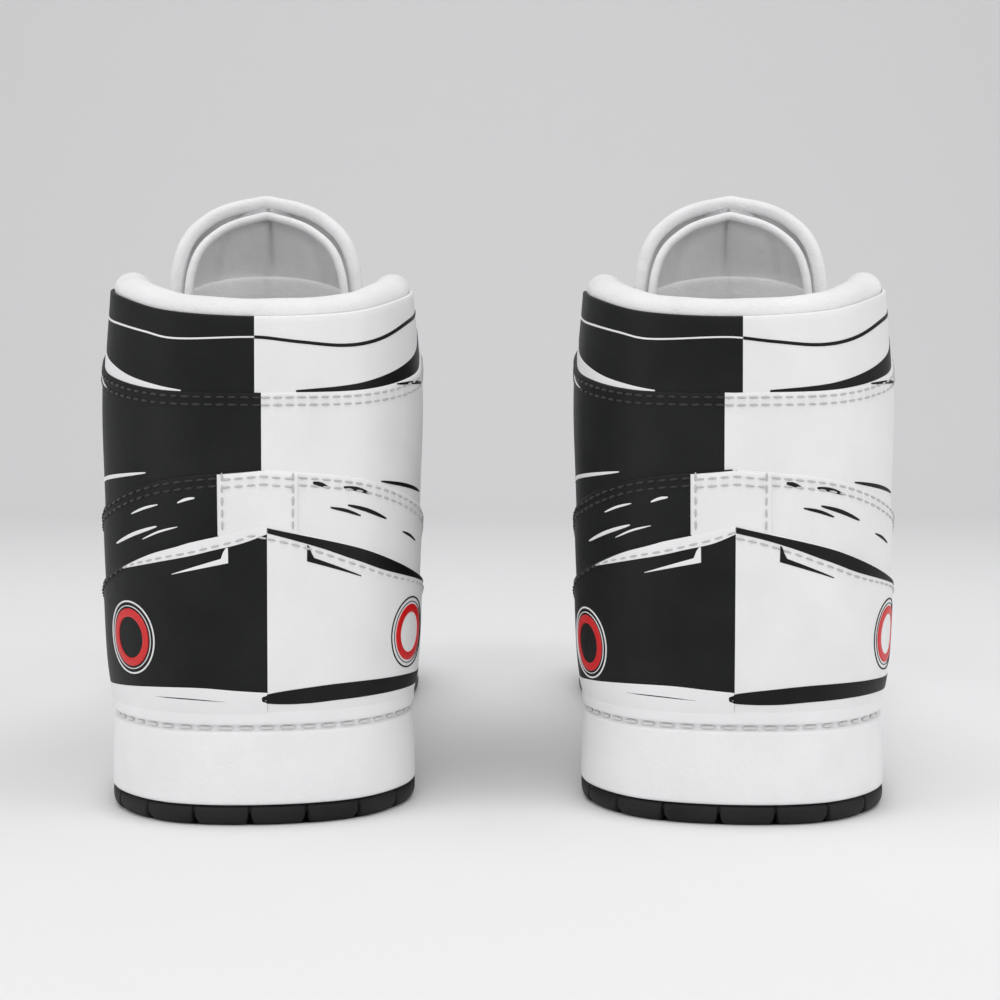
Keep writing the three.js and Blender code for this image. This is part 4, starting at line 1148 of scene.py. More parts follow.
def lace_sections(side):
    route = lace_route()
    points = np.array([r[0] for r in route])
    along = np.array([r[1] for r in route])
    along /= np.linalg.norm(along, axis=1, keepdims=True)
    for i in range(1, len(along)):
        if along[i] @ along[i - 1] < 0:
            along[i] *= -1
    wide = np.array([r[2] for r in route])
    places = np.linspace(0, 1, (len(route) - 1) * STEPS_EACH + 1)
    path = curve_points(points, places, False)
    spots = places * (len(route) - 1)
    frame_along = np.stack([np.interp(spots, np.arange(len(route)), along[:, k]) for k in range(3)], 1)
    width_here = np.interp(spots, np.arange(len(route)), wide)
    tangent = np.gradient(path, axis=0)
    tangent /= np.linalg.norm(tangent, axis=1, keepdims=True)
    across = frame_along - tangent * np.sum(frame_along * tangent, axis=1, keepdims=True)
    across /= np.linalg.norm(across, axis=1, keepdims=True)
    normal = np.cross(tangent, across)
    thick = LACE_THICKNESS * (1 + 0.5 * (1 - width_here))
    angle = np.arange(16) / 16 * 2 * np.pi
    flat = np.sign(np.cos(angle)) * abs(np.cos(angle)) ** 0.6
    deep = np.sign(np.sin(angle)) * abs(np.sin(angle)) ** 0.8
    half_width = (LACE_WIDTH * width_here / 2)[:, None, None]
    section = (path[:, None] + across[:, None] * (flat[:, None] * half_width)
               + normal[:, None] * (deep[:, None] * (thick / 2)[:, None, None]))
    return to_world(section, side)


for name, side in SHOES.items():
    lace = loft(f"{name}_shoe_lace", lace_sections(side), [lace_weave])
    finished(lace, f"{name}_shoe", "lace", f"{name}_lace")
print("laces made, pieces so far:", len(pieces))

# %% [markdown]
# ## Printed shapes
# The print on the leather is ink a hair thicker than the coat. Each shape here is a thin skin laid
# on the panel and cut to its outline, so its edge stays sharp at any distance. The same function
# that cuts panels cuts these, from a lower line, an upper line and the leather's own height.

# %% Films of ink
INK_HEIGHT = 0.14


def line(*pairs):
    """A run of straight lines through (w, up) points."""
    xs, ys = [p[0] for p in pairs], [p[1] for p in pairs]
    return lambda w: np.interp(w, xs, ys)


def curve(*pairs):
    """A smooth curve through (w, up) points."""
    return through(pairs)


def panel_height(w, up):
    """How far the leather stands out of the last there."""
    if up < counter_top(fold(w)):
        return COUNTER
    if up < quarter_top(fold(w)):
        return QUARTER
    return ANKLE if up < ankle_top(fold(w)) else COLLAR


def film(name, side, start, end, bottom, top, on, ink, step=1.3):
    """A thin skin of ink on leather that stands out by `on`."""
    return panel(name, side, start, end, bottom, top, on + INK_HEIGHT, [ink], depth=0.5 - on, step=step,
                 drop=0.32, reach=0.12)


def joined(name, parts):
    """Several closed pieces of one finish made one object."""
    bm = bmesh.new()
    for part in parts:
        bm.from_mesh(part.data)
    mesh = bpy.data.meshes.new(name)
    for finish in parts[0].data.materials:
        mesh.materials.append(finish)
    bm.to_mesh(mesh)
    bm.free()
    for part in parts:
        bpy.data.objects.remove(part)
    obj = bpy.data.objects.new(name, mesh)
    bpy.context.scene.collection.objects.link(obj)
    obj.data.polygons.foreach_set("use_smooth", [True] * len(mesh.polygons))
    return obj


print("leather's height at the heel, low to high:", [panel_height(0, up) for up in (0.3, 0.6, 0.7, 0.9)])

# %% [markdown]
# ## Brush strokes
# Small strokes, tapered at both ends, lie beside the seams. Each is a film between two curves that
# follow one middle line, so a stroke needs only its two ends and a width.

# %% Strokes
UP_PER_MM = 0.008


def dash(side, a, b, ink, width=0.9):
    """A thin stroke between two places."""
    middle = curve((a[0], a[1]), ((a[0] + b[0]) / 2, (a[1] + b[1]) / 2 + 0.002), (b[0], b[1]))
    def half(w):
        t = np.clip((w - a[0]) / (b[0] - a[0]), 0, 1)
        return UP_PER_MM * width * (0.14 + 0.4 * np.sin(np.pi * t) ** 0.5)
    on = panel_height((a[0] + b[0]) / 2, (a[1] + b[1]) / 2)
    return film("dash", side, a[0], b[0], lambda w: middle(w) - half(w), lambda w: middle(w) + half(w), on,
                ink, 0.9)


# Two ends and a width in millimetres.
WHITE_STROKES = [((-0.274, 0.612), (-0.11, 0.648), 1.1), ((-0.13, 0.564), (-0.092, 0.584), 0.7),
                 ((-0.072, 0.588), (-0.056, 0.598), 0.8), ((-0.16, 0.504), (-0.094, 0.542), 1.0),
                 ((-0.114, 0.516), (-0.072, 0.542), 0.6), ((-0.252, 0.835), (-0.19, 0.818), 0.7)]
BLACK_STROKES = [((0.116, 0.628), (0.208, 0.6), 1.1), ((0.043, 0.628), (0.057, 0.617), 1.2),
                 ((0.07, 0.618), (0.098, 0.604), 1.2), ((0.058, 0.578), (0.088, 0.56), 0.9),
                 ((0.074, 0.582), (0.122, 0.552), 1.1), ((0.15, 0.524), (0.182, 0.502), 0.8),
                 ((0.144, 0.832), (0.226, 0.824), 0.9)]

print("strokes on each shoe:", len(WHITE_STROKES) + len(BLACK_STROKES))

# %% [markdown]
# ## Bands of print
# The larger shapes answer each other in the two colours: a crescent along the counter's seam, a
# wedge under it, a band at the foot, a sliver under the collar and a thin line round it. Each is
# given by a lower and an upper line in w and height. The films are joined into one piece of each
# colour, which is how the ink would be laid on.

# %% Crescents, wedges, foot bands and collar lines
def heel_print(side, edge):
    """White and black films on the counter. edge is where its colour changes."""
    upper = curve((-0.142, 0.461), (-0.104, 0.487), (-0.07, 0.506), (-0.044, 0.525), (-0.018, 0.54),
                  (edge, 0.548))
    white = [
        film("crescent", side, -0.142, edge,
             curve((-0.142, 0.457), (-0.092, 0.474), (-0.062, 0.486), (-0.04, 0.498), (-0.018, 0.51),
                   (edge, 0.528)),
             lambda w: np.minimum(counter_top(fold(w)) - 0.002, upper(w)), COUNTER, white_print),
        film("wedge", side, -0.078, -0.028, line((-0.078, 0.451), (-0.028, 0.474)),
             line((-0.078, 0.453), (-0.034, 0.483), (-0.031, 0.503), (-0.028, 0.504)),
             COUNTER, white_print, 0.6),
        film("foot_strip", side, -0.42, edge, level(0.156),
             curve((-0.42, 0.204), (-0.24, 0.215), (-0.156, 0.226), (-0.1, 0.234), (-0.056, 0.236),
                   (-0.02, 0.23), (edge, 0.226)), COUNTER, white_print)]
    black = [
        film("crescent", side, edge, 0.26,
             curve((edge, 0.53), (0.024, 0.518), (0.05, 0.5), (0.078, 0.478), (0.122, 0.45), (0.218, 0.412),
                   (0.26, 0.394)),
             lambda w: counter_top(fold(w)) - 0.002, COUNTER, black_print),
        film("wedge", side, 0.038, 0.088, line((0.038, 0.476), (0.088, 0.443)),
             line((0.038, 0.508), (0.0405, 0.504), (0.043, 0.484), (0.088, 0.446)),
             COUNTER, black_print, 0.6),
        film("foot_band", side, edge - 0.006, 0.42,
             curve((edge - 0.006, 0.207), (edge, 0.201), (0.034, 0.198), (0.072, 0.203), (0.122, 0.205),
                   (0.224, 0.203), (0.42, 0.198)),
             curve((edge - 0.006, 0.216), (edge, 0.223), (0.034, 0.233), (0.072, 0.24), (0.122, 0.24),
                   (0.224, 0.232), (0.42, 0.212)), COUNTER, black_print, 0.9),
        dash(side, (-0.108, 0.213), (-0.03, 0.206), black_print, 0.5)]
    return white, black


def collar_print(side, edge):
    """White and black films on the collar: a sliver above the ankle's seam, and a thin line."""
    white = [film("collar_sliver", side, -0.3, -0.07, seam(ankle_top, -0.01),
                  curve((-0.3, 0.908), (-0.2, 0.875), (-0.14, 0.85), (-0.102, 0.837), (-0.07, 0.826)),
                  COLLAR, white_print)]
    black = [film("collar_sliver", side, 0.03, 0.33, seam(ankle_top, -0.01),
                  curve((0.03, 0.826), (0.088, 0.84), (0.148, 0.862), (0.2, 0.884), (0.262, 0.91),
                        (0.33, 0.93)), COLLAR, black_print)]
    path = curve((-0.36, 0.955), (-0.196, 0.948), (-0.118, 0.946), (-0.08, 0.94), (-0.006, 0.95),
                 (0.034, 0.938), (0.074, 0.926), (0.118, 0.93), (0.194, 0.952), (0.36, 0.96))
    for start, end, ink, films, half in ((-0.36, edge, white_print, white, 0.0026),
                                         (edge, 0.36, black_print, black, 0.0044)):
        films.append(film("collar_line", side, start, end, lambda w: path(w) - half,
                          lambda w: path(w) + half, COLLAR, ink, 1.6))
    return white, black


for name, side in SHOES.items():
    split = splits_of(name)
    white, black = heel_print(side, split["counter"])
    on_collar = collar_print(side, split["collar"])
    white += on_collar[0] + [dash(side, a, b, white_print, width) for a, b, width in WHITE_STROKES]
    black += on_collar[1] + [dash(side, a, b, black_print, width) for a, b, width in BLACK_STROKES]
    finished(joined(f"{name}_shoe_white_print", white), f"{name}_shoe", "white_leather")
    finished(joined(f"{name}_shoe_black_print", black), f"{name}_shoe", "black_leather")
print("prints made, pieces so far:", len(pieces))

# %% [markdown]
# ## Round badges
# Each side of the heel carries a printed round badge. It's drawn here as a plain ring with a red
# ring inside it, from circles measured along the leather.

# %% Badges
BADGE_RIMS = [(9.0, 9.5), (7.9, 8.2)]
RED_RING = (5.2, 7.4)
BADGES = {"left": [(-0.136, 0.325), (0.168, 0.322)], "right": [(-0.166, 0.3), (0.186, 0.322)]}


def circle_film(side, centre, inner, outer, on, ink, count=72):
    """A flat ring on the leather. inner and outer are its radii in millimetres."""
    w0, u0 = centre
    e = 0.004
    spots = place(np.array([w0 - e, w0 + e, w0, w0]), np.array([u0, u0, u0 - e, u0 + e]), on, side) * 1000
    w_mm = 2 * e / np.linalg.norm(spots[1] - spots[0])
    u_mm = 2 * e / np.linalg.norm(spots[3] - spots[2])
    angle = np.arange(count) / count * 2 * np.pi
    rows = [(outer, on - 0.4), (outer - 0.02, on + 0.05), (outer - 0.1, on + 0.15)]
    rows += [(outer - 0.1 + (inner - outer + 0.2) * t, on + 0.16) for t in (0.25, 0.5, 0.75)]
    rows += [(inner + 0.1, on + 0.15), (inner + 0.02, on + 0.05), (inner, on - 0.4)]
    radius, offset = np.array(rows).T
    w = w0 + radius * np.cos(angle)[:, None] * w_mm
    up = u0 + radius * np.sin(angle)[:, None] * u_mm
    return loft("circle", place(w, up, np.broadcast_to(offset, w.shape), side), [ink], closed=True)


for name, side in SHOES.items():
    rings = {"white": [], "black": [], "red": []}
    for centre in BADGES[name]:
        on_black = centre[0] < 0
        rim_ink, rim_group = (white_print, rings["white"]) if on_black else (black_print, rings["black"])
        for inner, outer in BADGE_RIMS:
            rim_group.append(circle_film(side, centre, inner, outer, COUNTER, rim_ink))
        rings["red"].append(circle_film(side, centre, *RED_RING, COUNTER, red_print))
    for colour, group in rings.items():
        slot_name = "white_leather" if colour == "white" else "black_leather"
        finished(joined(f"{name}_shoe_{colour}_badge", group), f"{name}_shoe", slot_name)
print("badges made, pieces so far:", len(pieces))

# %% [markdown]
# ## Stitching
# Seams are sewn with a lockstitch, about one stitch in 3 mm. Each stitch is a short bump of thread
# pressed into the leather. Modelling a few thousand by hand isn't sensible, so a node tree runs
# along each seam, cuts it into stitch lengths and lays one capsule at each, turned to the seam and
# to the leather. Thread is black on the black half and white on the white half, where it is greyed
# with painted shade of the stitch holes.

# %% The node tree for stitches
def new_tree(name, inputs):
    """An empty tree with named inputs, and its two end nodes."""
    tree = bpy.data.node_groups.new(name, "GeometryNodeTree")
    face = tree.interface
    face.new_socket("Geometry", in_out="INPUT", socket_type="NodeSocketGeometry")
    for label, kind in inputs:
        face.new_socket(label, in_out="INPUT", socket_type="NodeSocket" + kind)
    face.new_socket("Geometry", in_out="OUTPUT", socket_type="NodeSocketGeometry")
    return tree, tree.nodes.new("NodeGroupInput"), tree.nodes.new("NodeGroupOutput")


def attribute(tree, name):
    """A direction kept on the points."""
    node = tree.nodes.new("GeometryNodeInputNamedAttribute")
    node.data_type = "FLOAT_VECTOR"
    node.inputs["Name"].default_value = name
    return node.outputs["Attribute"]


def aligned(tree, axis, vector, before=None, pivot="AUTO"):
    """A turn that brings an axis round to a direction."""
    node = tree.nodes.new("FunctionNodeAlignRotationToVector")
    node.axis = axis
    node.pivot_axis = pivot
    tree.links.new(vector, node.inputs["Vector"])
    if before is not None:
        tree.links.new(before, node.inputs["Rotation"])
    return node.outputs["Rotation"]


print("tree helpers ready")

# %% [markdown]
# ## The stitches' tree
# The tree turns the edges into curves, cuts them at the pitch and lays a ball, stretched to a
# capsule, at each cut. The ball's long axis is turned along the curve and then its Z outwards. A
# small random scale keeps the stitches from looking stamped. Realize Instances and Set Material end
# the tree, so that the result is an ordinary mesh.

# %% Stitches along seams
def stitch_tree():
    """Resamples lines at the stitch pitch and lays a stretched ball at each point."""
    tree, given, result = new_tree("stitches_along_seams", [
        ("Pitch", "Float"), ("Length", "Float"), ("Thickness", "Float"), ("Unevenness", "Float"),
        ("Seed", "Int"), ("Thread", "Material")])
    add, link = tree.nodes.new, tree.links.new
    to_curve = add("GeometryNodeMeshToCurve")
    cut = add("GeometryNodeResampleCurve")
    cut.mode = "LENGTH"
    ball = add("GeometryNodeMeshUVSphere")
    ball.inputs["Segments"].default_value = 8
    ball.inputs["Rings"].default_value = 6
    ball.inputs["Radius"].default_value = 0.5
    shape = add("ShaderNodeCombineXYZ")
    stretch = add("GeometryNodeTransform")
    smooth_shade = add("GeometryNodeSetShadeSmooth")
    tangent = add("GeometryNodeInputTangent")
    lay = add("GeometryNodeInstanceOnPoints")
    vary = add("FunctionNodeRandomValue")
    vary.data_type = "FLOAT"
    least = add("ShaderNodeMath")
    least.operation = "SUBTRACT"
    least.inputs[0].default_value = 1.0
    most = add("ShaderNodeMath")
    most.operation = "ADD"
    most.inputs[0].default_value = 1.0
    real = add("GeometryNodeRealizeInstances")
    paint_it = add("GeometryNodeSetMaterial")
    link(given.outputs["Geometry"], to_curve.inputs["Mesh"])
    link(to_curve.outputs["Curve"], cut.inputs["Curve"])
    link(given.outputs["Pitch"], cut.inputs["Length"])
    link(given.outputs["Length"], shape.inputs["X"])
    link(given.outputs["Thickness"], shape.inputs["Y"])
    link(given.outputs["Thickness"], shape.inputs["Z"])
    link(ball.outputs["Mesh"], stretch.inputs["Geometry"])
    link(shape.outputs["Vector"], stretch.inputs["Scale"])
    link(stretch.outputs["Geometry"], smooth_shade.inputs["Geometry"])
    link(cut.outputs["Curve"], lay.inputs["Points"])
    link(smooth_shade.outputs["Geometry"], lay.inputs["Instance"])
    along = aligned(tree, "X", tangent.outputs["Tangent"])
    turned = aligned(tree, "Z", attribute(tree, "facing"), along, "X")
    link(turned, lay.inputs["Rotation"])
    link(given.outputs["Unevenness"], least.inputs[1])
    link(given.outputs["Unevenness"], most.inputs[1])
    link(least.outputs[0], vary.inputs[2])
    link(most.outputs[0], vary.inputs[3])
    link(given.outputs["Seed"], vary.inputs["Seed"])
    link(vary.outputs[1], lay.inputs["Scale"])
    link(lay.outputs["Instances"], real.inputs["Geometry"])
    link(real.outputs["Geometry"], paint_it.inputs["Geometry"])
    link(given.outputs["Thread"], paint_it.inputs["Material"])
    link(paint_it.outputs["Geometry"], result.inputs["Geometry"])
    return tree


STITCHES = stitch_tree()
print("stitch tree nodes:", len(STITCHES.nodes))

# %% [markdown]
# ## Growing the small pieces
# A tree needs something to grow on: edges for a seam, or loose points for eyelets and lugs, each
# with the directions that turn the small shapes. The modifier is run once and its result kept as a
# plain mesh, because the modifier itself wouldn't be exported.

# %% Points tree, carriers and growth
def points_tree(name, build_shape):
    """Lays one shape at every point, turned so that its Z faces out and its X runs along."""
    tree, given, result = new_tree(name, [("Size", "Vector"), ("Finish", "Material")])
    add, link = tree.nodes.new, tree.links.new
    shape = build_shape(tree)
    stretch = add("GeometryNodeTransform")
    lay = add("GeometryNodeInstanceOnPoints")
    real = add("GeometryNodeRealizeInstances")
    paint_it = add("GeometryNodeSetMaterial")
    link(shape, stretch.inputs["Geometry"])
    link(given.outputs["Size"], stretch.inputs["Scale"])
    link(given.outputs["Geometry"], lay.inputs["Points"])
    link(stretch.outputs["Geometry"], lay.inputs["Instance"])
    outward = aligned(tree, "Z", attribute(tree, "facing"))
    link(aligned(tree, "X", attribute(tree, "along"), outward, "Z"), lay.inputs["Rotation"])
    link(lay.outputs["Instances"], real.inputs["Geometry"])
    link(real.outputs["Geometry"], paint_it.inputs["Geometry"])
    link(given.outputs["Finish"], paint_it.inputs["Material"])
    link(paint_it.outputs["Geometry"], result.inputs["Geometry"])
    return tree


def keep_directions(mesh, label, values):
    """Stores a direction on each point of a mesh."""
    data = mesh.attributes.new(label, "FLOAT_VECTOR", "POINT").data
    data.foreach_set("vector", np.ravel(values).astype(np.float32))


def line_mesh(name, paths):
    """Open lines, each a pair (points, facing), as a mesh of edges."""
    verts = np.concatenate([p for p, _ in paths])
    faces_out = np.concatenate([f for _, f in paths])
    edges, start = [], 0
    for p, _ in paths:
        edges += [(start + i, start + i + 1) for i in range(len(p) - 1)]
        start += len(p)
    mesh = bpy.data.meshes.new(name)
    mesh.from_pydata(verts.tolist(), edges, [])
    keep_directions(mesh, "facing", faces_out)
    return mesh


def point_mesh(name, points, facings, alongs):
    """Loose points that know which way they face and which way is along."""
    mesh = bpy.data.meshes.new(name)
    mesh.from_pydata(np.asarray(points).tolist(), [], [])
    keep_directions(mesh, "facing", facings)
    keep_directions(mesh, "along", alongs)
    return mesh


def grown(name, mesh, tree, values):
    """Runs the node tree once on the mesh and keeps the result as a plain mesh."""
    holder = bpy.data.objects.new(name + "_lines", mesh)
    bpy.context.scene.collection.objects.link(holder)
    modifier = holder.modifiers.new("grow", "NODES")
    modifier.node_group = tree
    identifiers = {item.name: item.identifier for item in tree.interface.items_tree if item.in_out == "INPUT"}
    for label, value in values.items():
        modifier[identifiers[label]] = value
    graph = bpy.context.evaluated_depsgraph_get()
    made = bpy.data.meshes.new_from_object(holder.evaluated_get(graph))
    holder.modifiers.clear()
    bpy.data.objects.remove(holder)
    made.name = name
    obj = bpy.data.objects.new(name, made)
    bpy.context.scene.collection.objects.link(obj)
    return obj


print("carriers ready")

# %% [markdown]
# ## The rows of stitches
# A seam that takes strain has two rows. They follow the same lines as the panels, a little lower,
# so the tree only needs each row's ends. Every row is given twice, once in black thread and once in
# white, and stops short of the line where the print changes. Rows need no mesh of their own: they
# are edges without faces, and are gone once the thread has grown on them.

# %% Seams to stitch
def seam_path(side, start, end, up, on, step=1.2):
    """A line on the leather as (points, facing), from w = start to end."""
    w = np.linspace(start, end, max(3, int(abs(end - start) / (step * MM_OF_W))))
    height = up(w)
    return place(w, height, on + 0.12, side), facing(w, height, side)


def rising_path(side, w, low, high, on):
    """A line up the leather at one w."""
    up = np.linspace(low, high, 30)
    wide = np.full(30, float(w))
    return place(wide, up, on + 0.12, side), facing(wide, up, side)


def below(seam_line, mm):
    """A line a few millimetres below a seam."""
    return lambda w: seam_line(fold(w)) - mm * UP_PER_MM


def counter_row(w):
    """The stitch row of the heel counter, which keeps near the lower edge of the printed crescents."""
    left = curve((-0.42, 0.205), (-0.34, 0.3), (-0.25, 0.372), (-0.142, 0.458), (-0.092, 0.481),
                 (-0.062, 0.493), (-0.04, 0.505), (-0.018, 0.518), (0.0, 0.532))
    right = curve((0.0, 0.522), (0.024, 0.51), (0.05, 0.492), (0.078, 0.47), (0.122, 0.442), (0.218, 0.402),
                  (0.3, 0.34), (0.42, 0.205))
    return np.where(w < 0, left(w), right(w))


# A row's line, the panel whose split it stops at, its leather's height and how far round it goes.
BACK_ROWS = [(below(ankle_top, 1.5), "ankle", ANKLE, 0.37), (below(ankle_top, 3.6), "ankle", ANKLE, 0.37),
             (below(quarter_top, 1.5), None, QUARTER, 0.69), (below(quarter_top, 3.4), None, QUARTER, 0.69),
             (counter_row, "counter", COUNTER, 0.41)]
FRONT_ROWS = [(0.395, 0.995, below(lambda w: np.full(np.shape(w), 1.0), 2.0), EYESTAY),
              (0.395, 0.995, lambda w: quarter_top(fold(w)) + 0.006, EYESTAY),
              (0.7, 0.995, below(toe_cap_top, 1.6), TOE_CAP), (0.7, 0.995, below(toe_cap_top, 3.6), TOE_CAP)]
EYESTAY_SEAM = 0.3895


def sewn_paths(name, side):
    """The rows sewn in black thread and the rows sewn in white."""
    split = splits_of(name)
    black_paths, white_paths = [], []
    for up, part, on, reach in BACK_ROWS:
        middle = split[part] if part else 0.0
        left_start, right_start = (middle - 0.004, middle + 0.004) if part else (-0.041, 0.035)
        if part == "counter":
            white_paths.append(seam_path(side, -0.138, left_start, up, on))
            left_start = -0.145
        black_paths.append(seam_path(side, -reach, left_start, up, on))
        white_paths.append(seam_path(side, right_start, reach, up, on))
    for w in (-0.0325, 0.0265):
        white_paths.append(rising_path(side, w, 0.545, 0.64, BACKSTAY))
    for mm in (2.0, 4.0):
        white_paths.append(seam_path(side, -0.029, 0.023, below(quarter_top, mm), BACKSTAY))
    for start, end, up, on in FRONT_ROWS:
        black_paths.append(seam_path(side, 2 - start, 2 - end, up, on))
        white_paths.append(seam_path(side, start, end, up, on))
    black_paths.append(rising_path(side, 2 - EYESTAY_SEAM, 0.53, 0.98, EYESTAY))
    white_paths.append(rising_path(side, EYESTAY_SEAM, 0.53, 0.98, EYESTAY))
    return black_paths, white_paths


for name, side in SHOES.items():
    # The white thread's grey is painted shade of the stitch holes.
    threads = zip(("black", "white"), sewn_paths(name, side), (black_thread, white_thread_painted_shade))
    for colour, paths, thread in threads:
        mesh = line_mesh(f"{name}_{colour}_seams", paths)
        sewn = grown(f"{name}_shoe_{colour}_stitching", mesh, STITCHES, {
            "Pitch": 0.0030, "Length": 0.0023, "Thickness": 0.00062, "Unevenness": 0.08, "Seed": 3,
            "Thread": thread})
        finished(sewn, f"{name}_shoe", f"{colour}_leather")
print("upper stitched, pieces so far:", len(pieces))

# %% [markdown]
# ## The sole's stitches
# One row of thick thread runs round the whole shoe in the cup's groove, and holds the upper in the
# cup. It uses the same tree with longer, thicker stitches.

# %% Stitches in the groove
GROOVE_DEPTH = 1.85
GROOVE_HEIGHT = 24.45
for name, side in SHOES.items():
    places_round = np.linspace(-1, 1, 700)
    groove, deeper = (to_world(ring([inset], [GROOVE_HEIGHT], places_round)[:, 0], side)
                      for inset in (GROOVE_DEPTH, 4.0))
    outwards = groove - deeper
    outwards /= np.linalg.norm(outwards, axis=1, keepdims=True)
    mesh = line_mesh(f"{name}_groove", [(groove, outwards)])
    sole_sewn = grown(f"{name}_shoe_sole_stitching", mesh, STITCHES, {
        "Pitch": 0.0052, "Length": 0.0042, "Thickness": 0.0009, "Unevenness": 0.05, "Seed": 5,
        "Thread": sole_thread})
    finished(sole_sewn, f"{name}_shoe", "white_rubber")
print("stitching made:", len(pieces))

# %% [markdown]
# ## Small shapes that repeat
# Three more things repeat: a painted ring at each eyelet, vent holes punched through the vamp, and
# the lugs under the sole. The eyelets' holes and the vent holes are discs of painted shade. Each uses
# the same kind of tree, which lays one small shape at each point.

# %% Small shapes laid at points
def ring_shape(tree):
    """A round wire bent to a ring."""
    add, link = tree.nodes.new, tree.links.new
    big, small = add("GeometryNodeCurvePrimitiveCircle"), add("GeometryNodeCurvePrimitiveCircle")
    for circle, points, radius in ((big, 28, 1.0), (small, 10, 0.28)):
        circle.inputs["Resolution"].default_value = points
        circle.inputs["Radius"].default_value = radius
    sweep = add("GeometryNodeCurveToMesh")
    link(big.outputs["Curve"], sweep.inputs["Curve"])
    link(small.outputs["Curve"], sweep.inputs["Profile Curve"])
    return sweep.outputs["Mesh"]


def disc_shape(tree):
    """A ball, which is flattened to a disc that carries the painted shade of a hole."""
    node = tree.nodes.new("GeometryNodeMeshUVSphere")
    node.inputs["Segments"].default_value = 14
    node.inputs["Rings"].default_value = 6
    return node.outputs["Mesh"]


def lug_shape(tree):
    """A six-sided block."""
    node = tree.nodes.new("GeometryNodeMeshCylinder")
    node.inputs["Vertices"].default_value = 6
    node.inputs["Radius"].default_value = 1.0
    node.inputs["Depth"].default_value = 1.0
    return node.outputs["Mesh"]


EYELET_RINGS = points_tree("rings_on_eyelets", ring_shape)
SHADE_DISCS = points_tree("shade_discs_on_points", disc_shape)
LUGS = points_tree("lugs_on_sole", lug_shape)
print("trees:", len(bpy.data.node_groups))

# %% [markdown]
# ## Eyelets and vent holes
# Each eyelet is a painted ring with a near-black disc in it, painted shade for the shadowed inside of
# the hole. The vent holes stand in five staggered rows over the toes. Real holes could be cut by a
# boolean, but at a millimetre wide a near-black disc of painted shade that is flush with the leather
# looks the same and leaves the vamp clean.

# %% Eyelets and vents
def spots_on(side, w, up, on):
    """Points on the upper with the ways they face and run."""
    spots = place(side * w, up, on, side)
    return spots, facing(side * w, up, side), place(side * w + 0.01, up, on, side) - spots


def eyelet_points(side, on):
    w = np.array([eyelet_place(row, hand) for row in range(LACE_ROWS) for hand in (1, -1)])
    return spots_on(side, w, np.full(len(w), EYELET_UP), on)


VENT_ROWS, VENTS_EACH_WAY = 5, 3
VENT_GAP = 0.030


def vent_points(side):
    """Staggered rows between the toe cap and the eyestay."""
    low, high = toe_cap_top(0.9) + 0.075, quarter_top(0.97) - 0.055
    grid = [(row, k) for row in range(VENT_ROWS) for k in range(-VENTS_EACH_WAY, VENTS_EACH_WAY + 1)]
    up = np.array([low + (high - low) * row / (VENT_ROWS - 1) for row, k in grid])
    w = np.array([1 + (k + 0.5 * (row % 2)) * VENT_GAP for row, k in grid])
    return spots_on(side, w, up, VAMP + 0.02)


for name, side in SHOES.items():
    rings = grown(f"{name}_shoe_eyelets", point_mesh("eyelets", *eyelet_points(side, EYESTAY + 0.15)),
                  EYELET_RINGS, {"Size": (0.0030, 0.0030, 0.0022), "Finish": eyelet_paint})
    finished(rings, f"{name}_shoe", "black_leather")
    # Discs of painted shade in the eyelet holes.
    holes = grown(f"{name}_shoe_eyelet_hole_shade", point_mesh("holes", *eyelet_points(side, EYESTAY - 0.05)),
                  SHADE_DISCS, {"Size": (0.0026, 0.0026, 0.0002), "Finish": hole_shade_paint})
    finished(holes, f"{name}_shoe", "black_leather")
    # Discs of painted shade for the vent holes.
    vents = grown(f"{name}_shoe_vent_hole_shade", point_mesh("vents", *vent_points(side)), SHADE_DISCS,
                  {"Size": (0.0010, 0.0010, 0.00012), "Finish": hole_shade_paint})
    finished(vents, f"{name}_shoe", "white_leather")
print("eyelets and vents made, pieces so far:", len(pieces))

# %% [markdown]
# ## The tread
# Under the sole are small six-sided lugs in staggered rows. A row is as long as the outline is wide
# there, less a border, so the pattern follows the shoe's shape.

# %% Lugs
LUG_ROWS = np.arange(9.0, 292.0, 7.4)
LUG_GAP = 8.4
LUG_BORDER = 1.5


def lug_points():
    """Centres of the lugs in the shoe's own millimetres."""
    outline = sole_points(np.linspace(0, 2, 400), 10.2, 0)
    points = []
    for i, y in enumerate(LUG_ROWS):
        near = outline[abs(outline[:, 1] - y) < 3.0]
        if len(near) < 2:
            continue
        for x in np.arange(-60.0 + LUG_GAP / 2 * (i % 2), 60.0, LUG_GAP):
            if near[:, 0].min() + LUG_BORDER < x < near[:, 0].max() - LUG_BORDER:
                points.append((x, y, 0.75))
    return lift(np.array(points))


for name, side in SHOES.items():
    points = lug_points()
    down, ahead = (np.tile(way, (len(points), 1)) for way in ([0.0, 0.0, -1.0], [1.0, 0.0, 0.0]))
    lugs = grown(f"{name}_shoe_tread", point_mesh("lugs", to_world(points, side), down, ahead), LUGS,
                 {"Size": (0.0042, 0.0038, 0.0015), "Finish": black_rubber})
    finished(lugs, f"{name}_shoe", "black_rubber")
print("small pieces made, pieces in all:", len(pieces))

# %% [markdown]
# ## Studio
# A pale floor curves up into a pale wall, so that no horizon shows behind the shoes.

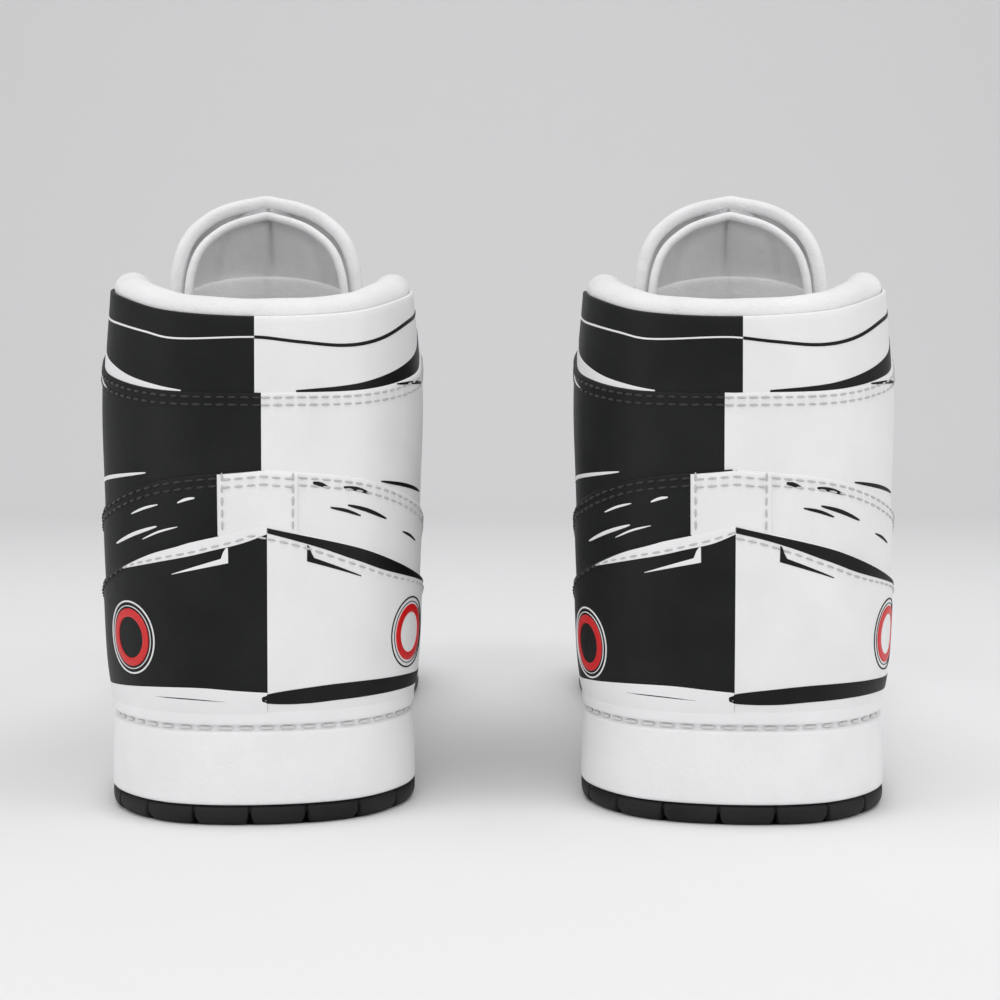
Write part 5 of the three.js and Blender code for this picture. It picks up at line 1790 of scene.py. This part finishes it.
# %% The floor and the wall
def backdrop():
    """A floor that curves up into a wall."""
    steps = 24
    profile = [(-3.0, 0.0)] + [(1.1 + 0.9 * math.sin(a), 0.9 - 0.9 * math.cos(a))
                               for a in np.linspace(0, math.pi / 2, steps)] + [(2.0, 4.0)]
    verts = [(x, y, z) for x in (-5, 5) for y, z in profile]
    n = len(profile)
    faces = [(i, i + 1, n + i + 1, n + i) for i in range(n - 1)]
    mesh = bpy.data.meshes.new("studio_floor")
    mesh.from_pydata(verts, [], faces)
    obj = bpy.data.objects.new("studio_floor", mesh)
    bpy.context.scene.collection.objects.link(obj)
    obj.data.polygons.foreach_set("use_smooth", [True] * len(faces))
    paper = material("studio_paper", (0.86, 0.86, 0.865), 0.9, spread=0.0, specular=0.2)
    obj.data.materials.append(paper)


backdrop()
print("floor laid")

# %% [markdown]
# ## Light and camera
# Large soft lights leave no hard shadow, and a pale world fills in from all round. The camera is
# tilted three degrees down.

# %% Lights and camera
# A plain response, so that white leather stays white and the red print stays red.
bpy.context.scene.view_settings.view_transform = "Standard"


def soft_light(name, place_at, aim, size, watts):
    data = bpy.data.lights.new(name, "AREA")
    data.shape = "RECTANGLE"
    data.size, data.size_y = size
    data.energy = watts
    light = bpy.data.objects.new(name, data)
    light.location = place_at
    light.rotation_euler = (Vector(aim) - Vector(place_at)).to_track_quat("-Z", "Y").to_euler()
    bpy.context.scene.collection.objects.link(light)


soft_light("soft_top", (0.0, -0.2, 1.5), (0, 0, 0.05), (1.6, 1.4), 10.6)
soft_light("soft_left", (-1.5, -0.9, 0.7), (0, -0.05, 0.08), (1.0, 1.2), 5.6)
soft_light("soft_right", (1.5, -0.9, 0.7), (0, -0.05, 0.08), (1.0, 1.2), 5.6)
soft_light("soft_back", (0.0, -1.6, 0.9), (0, -0.1, 0.06), (1.6, 0.8), 3.9)

studio = bpy.data.worlds.new("studio_air")
studio.use_nodes = True
studio.node_tree.nodes["Background"].inputs["Color"].default_value = (0.92, 0.92, 0.93, 1)
studio.node_tree.nodes["Background"].inputs["Strength"].default_value = 0.52
bpy.context.scene.world = studio

camera_data = bpy.data.cameras.new("camera")
camera_data.sensor_width = 36
camera_data.lens = 64.15
camera = bpy.data.objects.new("camera", camera_data)
camera.location = (0.0005, -0.588, 0.1046)
camera.rotation_euler = (math.radians(90 - 3), 0, 0)
bpy.context.scene.collection.objects.link(camera)
bpy.context.scene.camera = camera
print("camera set")
